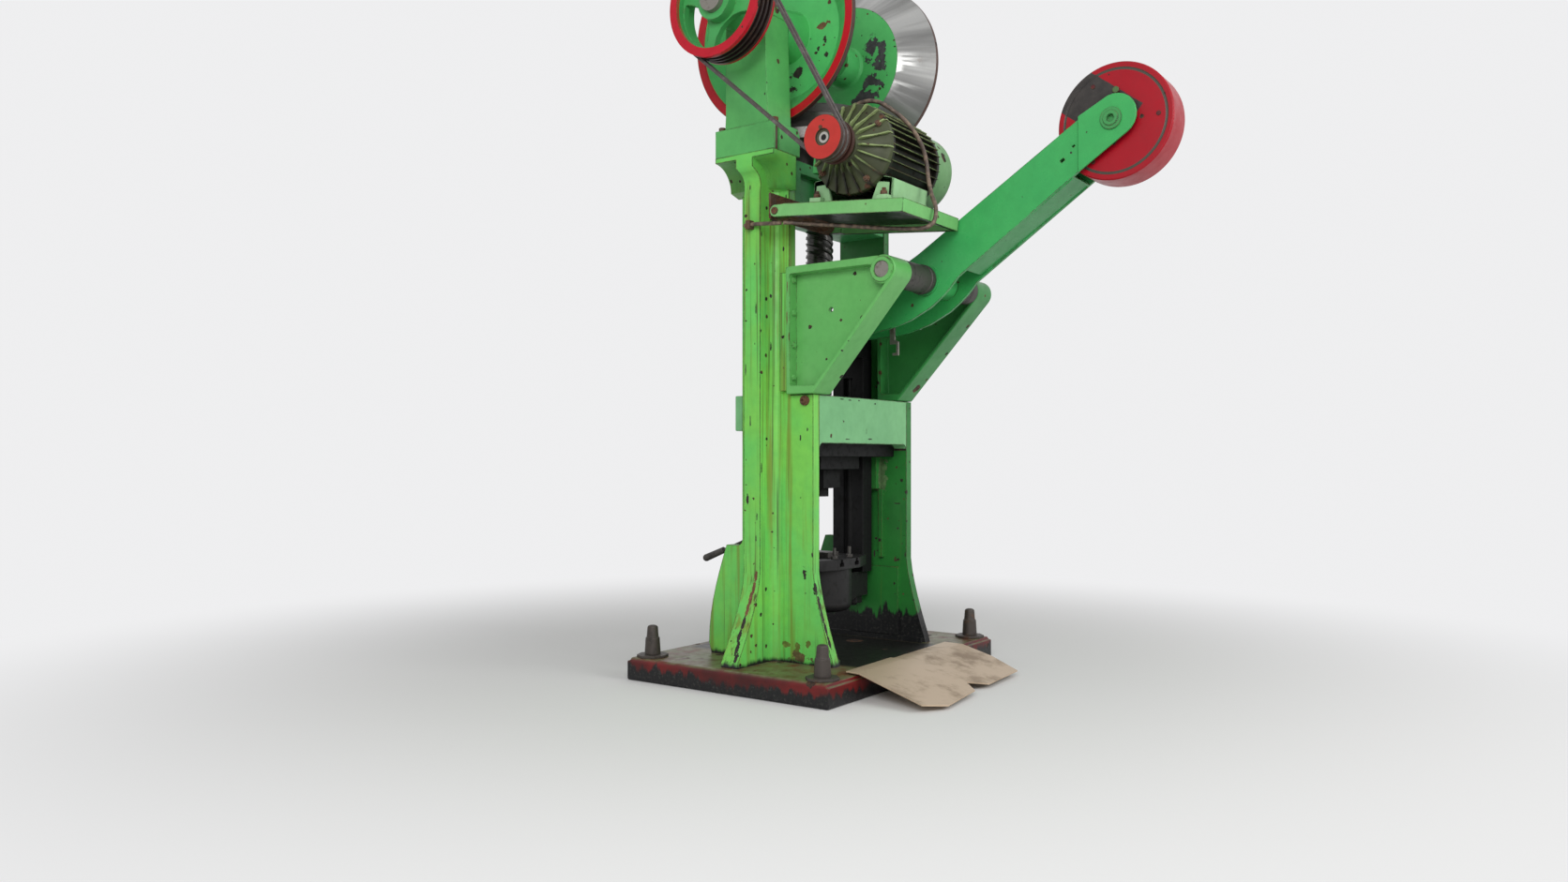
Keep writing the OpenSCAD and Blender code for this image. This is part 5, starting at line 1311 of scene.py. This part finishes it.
@dataclass
class Drive(SubAssembly):
    """The friction shaft, the cone discs, the belt pulley and the belts."""

    pulley_r: float = 0.240
    motor_r: float = 0.088
    belt_x: tuple[float, float] = (-0.777, -0.750)
    below: float = 0.007
    ends: tuple[Point, Point] = ((0.0, -0.08, 2.72), (0.0, -0.50, 2.33))
    table = {"friction_shaft": ("drive_bar", DULL, 0.002), "shift_sleeve": ("sleeve", BLACK_IRON, 0.002),
             "belt_pulley": ("pulley", PULLEY, 0.002), "left_cone_disc": ("left_cone", LEFT_CONE, 0.003),
             "right_cone_disc": ("right_cone", RIGHT_CONE, 0.003), "cone_faces": ("cone_rings", CONE_FACE, 0.0)}

    def belt_route(self, steps: int = 48) -> list[tuple[Vector, Vector]]:
        """Middle line of a belt and its outward direction, in Y and Z."""
        big, small = Vector((0.0, SHAFT_Z)), Vector((MOTOR_Y, MOTOR_Z))
        r1, r2 = self.pulley_r - self.below, self.motor_r - self.below
        line = small - big
        base = math.atan2(line.y, line.x)
        spread = math.acos((r1 - r2) / line.length)
        route = []
        for centre, radius, start, end in ((big, r1, base + spread, base + 2 * math.pi - spread),
                                           (small, r2, base - spread, base + spread)):
            for i in range(steps + 1):
                a = start + (end - start) * i / steps
                out = Vector((math.cos(a), math.sin(a)))
                route.append((centre + radius * out, out))
        fine = []
        for (p, out), (q, other) in zip(route, route[1:] + route[:1]):
            span = max(1, int((q - p).length / 0.06))
            fine += [(p.lerp(q, k / span), out.lerp(other, k / span).normalized()) for k in range(span)]
        return fine

    def belt(self, x: float) -> bpy.types.Object:
        """One V-belt with a crowned back and a narrower inner side."""
        section = [(-0.0055, -0.006), (-0.0072, 0.0045), (-0.0060, 0.0058), (0.0, 0.0062), (0.0060, 0.0058),
                   (0.0072, 0.0045), (0.0055, -0.006)]
        route = self.belt_route()
        n, m = len(route), len(section)
        points = [(x + u, p.x + v * out.x, p.y + v * out.y) for p, out in route for u, v in section]
        faces = [(i * m + k, i * m + (k + 1) % m, (i + 1) % n * m + (k + 1) % m, (i + 1) % n * m + k)
                 for i in range(n) for k in range(m)]
        return from_faces("belt", points, faces)

    def build(self) -> None:
        """Makes the drive."""
        super().build()
        belts = soften(joined("drive_belts", [self.belt(x) for x in self.belt_x]), 0.0)
        self.shop.coat(belts, BELT)
        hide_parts("v_belts")
        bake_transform(belts)
        LOG.info("%s bend between frame and motor", belts.name)


@dataclass
class FlywheelAndScrew(SubAssembly):
    """The flywheel with its friction band and the threaded screw."""

    radius: float = 0.0675
    ridge: float = 0.0085
    root: float = 0.0590
    lead: float = 0.120
    starts: int = 4
    thread_top: float = 2.100
    table = {"flywheel": ("wheel", WHEEL_RIM, 0.003), "friction_band": ("band", BLACK_IRON, 0.002),
             "screw_cap": ("cap", RUSTY, 0.002)}

    def build(self) -> None:
        """Makes the flywheel, its band, the screw and its cap."""
        super().build()
        low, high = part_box("screw")
        neck, chamfer, run_out = self.root - 0.0005, 0.004, 0.015
        core = turned("core", [(0.0, low.z), (self.root, low.z), (self.root, self.thread_top),
                               (neck, self.thread_top + 0.005), (neck, high.z - chamfer),
                               (neck - chamfer, high.z), (0.0, high.z)], Axis.Z, (0, 0, 0), 64)
        self.shop.coat(core, GREASED)
        ridges = self.shop.trees.run(
            "ridges", self.shop.trees.thread, self.shop.spots(), Starts=self.starts, Lead=self.lead,
            Length=self.thread_top - low.z - 2 * run_out, Radius=self.radius - self.ridge, Ridge=self.ridge,
            Centre=(0.0, 0.0, low.z + run_out), Material=self.shop.finish(GREASED))
        screw = joined("threaded_screw", [core, ridges])
        smooth(screw, SHARP_ANGLE)
        self.shop.fit(screw, "screw")


@dataclass
class Yoke(SubAssembly):
    """The rising yoke with its table."""

    table = {
        "yoke_crosshead": ("crosshead", OILY_IRON_IN_SHADE, 0.004), "screw_nut": ("nut", BRONZE, 0.002),
        "tie_bars": ("side_bars", OILY_IRON_IN_SHADE, 0.003), "tie_rods": ("rods", YOKE_IRON_IN_SHADE, 0.002),
        "lower_beam": ("anvil", YOKE_IRON_IN_SHADE, 0.005), "table_plate": ("table", YOKE_IRON_IN_SHADE, 0.003),
        "table_bolts": ("table_screws", BLACK_IRON, 0.001)}


@dataclass
class BalanceLever(SubAssembly):
    """The lever with its welded box arm and its balance wheel."""

    inner: float = 0.0842
    low: float = 0.0770
    seam: tuple[float, float] = (0.20, 0.75)
    weld: float = 0.009
    first_seed: int = 7
    table = {"lever_arm": ("arm", ARM, 0.003), "lever_fork": ("straps", ARM, 0.004),
             "lever_catch": ("hook", DULL, 0.001), "lever_collars": ("collars", BLACK_IRON, 0.003),
             "wheel_pin": ("pin_and_plugs", PIN, 0.0015), "lever_roller": ("roller", DULL, 0.002),
             "balance_wheel": ("counterweight", WHEEL, 0.0025)}

    def build(self) -> None:
        """Makes the arm, its welds, its straps, the wheel and the pins."""
        super().build()
        self.band_on_wheel()
        beads, steps = [], 12
        start, end = self.seam
        for i, x in enumerate((-self.inner, self.inner)):
            line = [(x, *on_lever(start + (end - start) * k / steps, -self.low - 0.0005)) for k in range(steps + 1)]
            beads.append(self.shop.bead(f"seam_{i}", line, self.weld, ARM, self.first_seed + i))
        self.shop.fit(joined("arm_welds", beads), body="lever", slot="green_paint")

    def band_on_wheel(self) -> None:
        """Paints the broad grey band across the upper left of the wheel's near face."""
        tree = self.shop.finish(WHEEL).node_tree
        g = Graph(tree)
        shader = next(n for n in tree.nodes if n.type == "BSDF_PRINCIPLED")
        place = g.node("ShaderNodeTexCoord").outputs["Object"]
        x, y, z = g.split(place)
        right, up = WHEEL_Y - y, z - WHEEL_Z
        across = right * 0.61 + up * 0.79 + (g.noise(place, 12.0) - 0.5) * 0.012
        mask = g.between(across, -0.079, 0.109, 0.002) * g.rise(right * 0.79 - up * 0.61, 0.062, 0.056)
        mask = mask * g.rise(x, -0.069, -0.071)
        grey = g.mix(g.cloud(place, 30.0, 4.0, 0.6, 0.3, 0.7), (0.046, 0.040, 0.037), (0.030, 0.026, 0.025))
        g.fill(shader, {"Base Color": g.mix(mask, shader.inputs["Base Color"].links[0].from_socket, grey)})


@dataclass
class Motor(SubAssembly):
    """The motor on its hinged plate, in the plate's own tilted frame about the motor's axis."""

    tilt: float = math.radians(5.2)
    core_r: float = 0.1610
    tip_r: float = 0.1880
    wall: float = 0.014
    fins: int = 36
    start_x: float = -0.560
    end_x: float = -0.165
    ribs: int = 20
    rib_half: float = 0.0032
    height: float = 0.210
    foot_x: float = -0.559
    foot_length: float = 0.295
    foot_out: float = 0.190
    foot_gap: float = 0.0003
    centre: ClassVar[Point] = (0.0, MOTOR_Y, MOTOR_Z)
    table = {"fan_cover": ("cover", COVER, 0.002), "motor_plate": ("hinged_plate", PLATE, 0.003),
             "motor_bolts": ("foot_bolts", RUSTY, 0.0015), "terminal_box": ("terminals", DRIVE, 0.003),
             "motor_rotor": ("motor_pulley", MOTOR_PULLEY, 0.0015)}

    def around(self, name: str, piece: bpy.types.Object, count: int, start: float, kind: Finish) -> bpy.types.Object:
        """Repeats a piece round the motor's axis.

        Args:
            name: Name of the ring.
            piece: The piece, which is used up.
            count: Number of copies.
            start: Angle of the first one from the plate's upright.
            kind: Finish of the copies.

        Returns:
            The ring of copies.
        """
        trees = self.shop.trees
        ring = trees.run(name, trees.ring_array, self.shop.spots(), Piece=piece, Count=count, Start=self.tilt + start,
                         Step=2 * math.pi / count, Centre=self.centre, Material=self.shop.finish(kind))
        bpy.data.objects.remove(piece)
        return ring

    def fin(self) -> bpy.types.Object:
        """One cooling fin with a rounded tip, its root in the core, pointing along +Z from the axis."""
        side = [(0.0026, self.core_r - 0.006), (0.0016, self.tip_r - 0.0035), (0.0011, self.tip_r - 0.0010)]
        return prism("fin", [*((-y, r) for y, r in side), (0.0, self.tip_r), *reversed(side)], Axis.X,
                     self.start_x, self.end_x)

    def rib(self) -> bpy.types.Object:
        """One rib of the end bell, curved over its dome."""
        outline = [(-0.652, 0.070), (-0.655, 0.094), (-0.640, 0.112), (-0.618, 0.140), (-0.604, 0.165),
                   (-0.596, 0.182), (-0.585, 0.1875), (-0.563, 0.1875), (-0.563, 0.178), (-0.582, 0.172),
                   (-0.604, 0.145), (-0.625, 0.105), (-0.640, 0.070)]
        return soften(prism("rib", outline, Axis.Y, -self.rib_half, self.rib_half), 0.0012)

    def feet(self) -> bpy.types.Object:
        """The two feet with their end walls and their ears, turned with the plate."""
        walls = []
        start, end, out, foot_end = self.foot_x, self.foot_x + self.foot_length, self.foot_out, 0.014
        under = self.foot_gap - self.height
        for s in (-1, 1):
            rim = [(s * out, under), (s * out, 0.092 - self.height), (s * 0.128, 0.104 - self.height)]
            inside = s * (out - 0.016)
            body = [*rim, (s * 0.118, 0.076 - self.height), (inside, 0.070 - self.height), (inside, under)]
            walls.append(prism("foot", body, Axis.X, start, end))
            walls += [prism("foot", [*rim, (s * 0.096, under)], Axis.X, x, x + foot_end)
                      for x in (start, end - foot_end)]
            left, right = (s * (out - 0.028) + side for side in (-0.028, 0.028))
            ear = [(left, under), (right, under), (right, under + 0.020), (left, under + 0.020)]
            walls.append(prism("foot", ear, Axis.X, start - 0.030, end + 0.030))
        made = joined("feet", walls)
        made.data.transform(Matrix.Translation(self.centre) @ Matrix.Rotation(self.tilt, 4, "X"))
        return self.shop.coat(soften(made, 0.003), FOOT)

    def tube(self, name: str, low: float, high: float, start: float, end: float) -> bpy.types.Object:
        """A ring about the motor's axis, from a low to a high radius and from start to end along X."""
        return turned(name, [(low, start), (high, start), (high, end), (low, end)], Axis.X, self.centre, 80)

    def stator(self) -> bpy.types.Object:
        """The ribbed body with its feet."""
        flange, core_r = 0.018, self.core_r
        core = joined("core", [self.tube("core", core_r - self.wall, core_r, self.start_x, self.end_x)] + [
            self.tube("ring", core_r - 0.002, self.tip_r - 0.006, x, x + flange)
            for x in (self.start_x, self.end_x - flange)])
        fins = self.around("fins", self.fin(), self.fins, math.pi / self.fins, OLIVE)
        return joined("motor_body", [self.shop.coat(soften(core, 0.0015), OLIVE), fins, self.feet()])

    def bell(self) -> bpy.types.Object:
        """The domed end with its ribs, its hub ring and four knobs."""
        dome = turned("dome", [(0.030, -0.660), (0.066, -0.660), (0.070, -0.655), (0.078, -0.642), (0.096, -0.624),
                               (0.130, -0.606), (0.160, -0.588), (0.180, -0.583), (0.184, -0.578),
                               (0.184, -0.5603), (0.128, -0.5603), (0.084, -0.610), (0.030, -0.616)],
                      Axis.X, self.centre, 80)
        dome = self.shop.coat(soften(dome, 0.0), BELL_SHADOW)
        ribs = self.around("ribs", self.rib(), self.ribs, 0.0, OLIVE)
        knob = nut("knob", 0.020, 0.012, 0.002, 0.006)
        knob.data.transform(Matrix.Translation((-0.597, 0.0, 0.156)) @ Matrix.Rotation(-math.pi / 2, 4, "Y"))
        knobs = self.around("knobs", knob, 4, math.pi / self.ribs + math.pi / 4, RUSTY)
        return joined("end_bell", [dome, ribs, knobs])

    def build(self) -> None:
        """Makes the motor, its pulley and its plate."""
        self.shop.fit(self.stator(), "motor_stator")
        self.shop.fit(self.bell(), "motor_bell")
        super().build()


@dataclass
class LooseParts(SubAssembly):
    """The discharge plates and the control lever."""

    table = {"left_discharge_plate": ("left_plate", SHEET, 0.0012),
             "right_discharge_plate": ("right_plate", SHEET, 0.0012),
             "control_lever": ("hand_lever_bar", BLACK_IRON, 0.001)}


@dataclass
class Cables(SubAssembly):
    """The motor's cable and the short lead at the frame, along the routes of the model."""

    radius: float = 0.009
    motor_route: tuple[Point, ...] = (
        (-400, 212, 84), (-404, 214, 112), (-420, 196, 150), (-446, 150, 188), (-470, 84, 210), (-484, 4, 220),
        (-490, -62, 208), (-486, -112, 178), (-444, -156, 136), (-396, -188, 82), (-352, -205, 18),
        (-330, -210, -46), (-330, -218, -108), (-340, -236, -168), (-352, -258, -212), (-360, -268, -246),
        (-368, -266, -284), (-378, -252, -306), (-392, -210, -318), (-430, -80, -308), (-480, 98, -284),
        (-530, 248, -266), (-560, 318, -258), (-575, 350, -256))
    lead_route: tuple[Point, ...] = (
        (-0.577, -0.186, 2.012), (-0.578, -0.150, 2.014), (-0.576, -0.112, 2.018), (-0.568, -0.072, 2.023),
        (-0.560, -0.044, 2.027), (-0.556, -0.018, 2.029), (-0.556, 0.026, 2.029))

    def cable(self, name: str, route: Sequence[Point], node: str, **more: object) -> None:
        """Makes one cable as a curve in place of its CAD node.

        Args:
            name: Name of the piece.
            route: Points of its middle line.
            node: CAD node that it stands for.
            **more: Further settings of the cord; not used.
        """
        line = smooth_route(route)
        curve = bpy.data.curves.new(name, "CURVE")
        curve.dimensions = "3D"
        curve.bevel_depth = self.radius
        curve.bevel_resolution = 4
        curve.use_fill_caps = True
        spline = curve.splines.new("POLY")
        spline.points.add(len(line) - 1)
        for point, place in zip(spline.points, line):
            point.co = (*place, 1.0)
        curve.materials.append(self.shop.finish(CABLE))
        self.shop.fit(new_object(name, curve), node)
        2 * self.radius

    def build(self) -> None:
        """Makes both cables and the gland."""
        route = [(x / 1000, MOTOR_Y + y / 1000, MOTOR_Z + z / 1000) for x, y, z in self.motor_route]
        gland = turned("gland", [(0.0088, 0.0), (0.0150, 0.0), (0.0150, 0.010), (0.0125, 0.014), (0.0102, 0.040),
                                 (0.0088, 0.040)], Axis.Z, route[0], 32)
        gland = self.shop.coat(soften(gland, 0.0), CABLE)
        self.shop.fit(gland, body="motor", slot="cable_rubber")
        self.cable("motor_lead", route, "motor_cable", with_pieces=[gland])
        self.cable("frame_lead", self.lead_route, "supply_lead")


@dataclass
class Studio:
    """The pale floor, the soft lights and the camera at the photograph's angle."""

    eye: Point = (-4.479, -2.9815, 1.000)
    heading: tuple[float, float] = (0.8145, 0.5801)
    focal_px: float = 1194.2
    frame_px: tuple[int, int] = (1672, 941)
    horizon_px: float = 489.5
    backdrop: float = 0.86
    ambient: float = 0.40

    @property
    def pale(self) -> Color:
        """Colour of the backdrop."""
        return self.backdrop, self.backdrop, self.backdrop * 1.01

    def camera(self) -> None:
        """Puts the camera where the photograph was taken from."""
        data = bpy.data.cameras.new("view")
        data.sensor_width = 36.0
        data.sensor_fit = "HORIZONTAL"
        data.lens = 36.0 * self.focal_px / self.frame_px[0]
        data.shift_y = (self.horizon_px - self.frame_px[1] / 2) / self.frame_px[0]
        data.clip_end = 400.0
        cam = new_object("view", data)
        ahead = Vector((*self.heading, 0.0)).normalized()
        cam.matrix_world = Matrix.Translation(self.eye) @ ahead.to_track_quat("-Z", "Y").to_matrix().to_4x4()
        bpy.context.scene.camera = cam

    def lamp(self, name: str, place: Point, size: tuple[float, float], power: float, target: Point) -> None:
        """Adds one soft box that faces a point."""
        data = bpy.data.lights.new(name, "AREA")
        data.shape = "RECTANGLE"
        data.size, data.size_y = size
        data.energy = power
        lamp = new_object(name, data)
        aim = (Vector(target) - Vector(place)).to_track_quat("-Z", "Y")
        lamp.matrix_world = Matrix.Translation(place) @ aim.to_matrix().to_4x4()

    def floor(self) -> None:
        """Lays the floor, which fades into the backdrop far away."""
        plane = from_faces("floor", [(-60, -60, -0.002), (60, -60, -0.002), (60, 60, -0.002), (-60, 60, -0.002)],
                           [(0, 1, 2, 3)])
        material, g, shader, place = start_material("floor")
        g.fill(shader, {"Roughness": 0.9, "Base Color": (0.80, 0.80, 0.79)})
        glow = g.node("ShaderNodeEmission", {"Color": self.pale})
        paths = g.node("ShaderNodeLightPath")
        seen = g.math("MAXIMUM", paths.outputs["Is Camera Ray"], paths.outputs["Is Glossy Ray"])
        fade = g.rise(g.vector("LENGTH", place)[1], 1.3, 4.6)
        shown = g.make("ShaderNodeMixShader", {0: fade * seen, 1: shader.outputs[0], 2: glow.outputs[0]})
        output = next(n for n in material.node_tree.nodes if n.type == "OUTPUT_MATERIAL")
        g.fill(output, {"Surface": shown})
        plane.data.materials.append(material)

    def sky(self) -> None:
        """Lights the object evenly and shows a pale backdrop."""
        world = bpy.data.worlds.new("studio")
        bpy.context.scene.world = world
        world.use_nodes = True
        world.node_tree.nodes.clear()
        g = Graph(world.node_tree)
        soft = g.make("ShaderNodeBackground", {"Color": (1.0, 1.0, 1.0), "Strength": self.ambient})
        plain = g.make("ShaderNodeBackground", {"Color": self.pale, "Strength": 1.0})
        paths = g.node("ShaderNodeLightPath")
        seen = g.math("MAXIMUM", paths.outputs["Is Camera Ray"],
                      g.math("MAXIMUM", paths.outputs["Is Glossy Ray"], paths.outputs["Is Transmission Ray"]))
        g.node("ShaderNodeOutputWorld", {"Surface": g.make("ShaderNodeMixShader", {0: seen, 1: soft, 2: plain})})

    def build(self) -> None:
        """Sets up the whole studio."""
        bpy.context.scene.view_settings.view_transform = "Standard"
        self.camera()
        self.floor()
        self.sky()
        self.lamp("left window", (-6.2, -3.4, 3.9), (4.0, 3.0), 260.0, (0.0, 0.0, 1.7))
        self.lamp("front window", (0.2, -6.6, 3.8), (4.0, 2.6), 170.0, (0.0, 0.0, 1.7))


def main() -> None:
    """Builds the studio and every sub-assembly."""
    logging.basicConfig(level=logging.INFO, format="%(name)s: %(message)s")
    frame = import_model()
    Studio().build()
    bodies = frame["record"]["behaviour"]["bodies"]
    shop = Shop(node_body={n: b for b, nodes in bodies.items() for n in nodes},
                node_slot={s["node"]: s["material_slot"] for s in frame["record"]["subparts"]})
    Cables(shop).build()
    for part in (BedAndAnchors, FrameCastings, Drive, FlywheelAndScrew, Yoke, BalanceLever, Motor, LooseParts):
        part(shop).build()


if __name__ == "__main__":
    main()
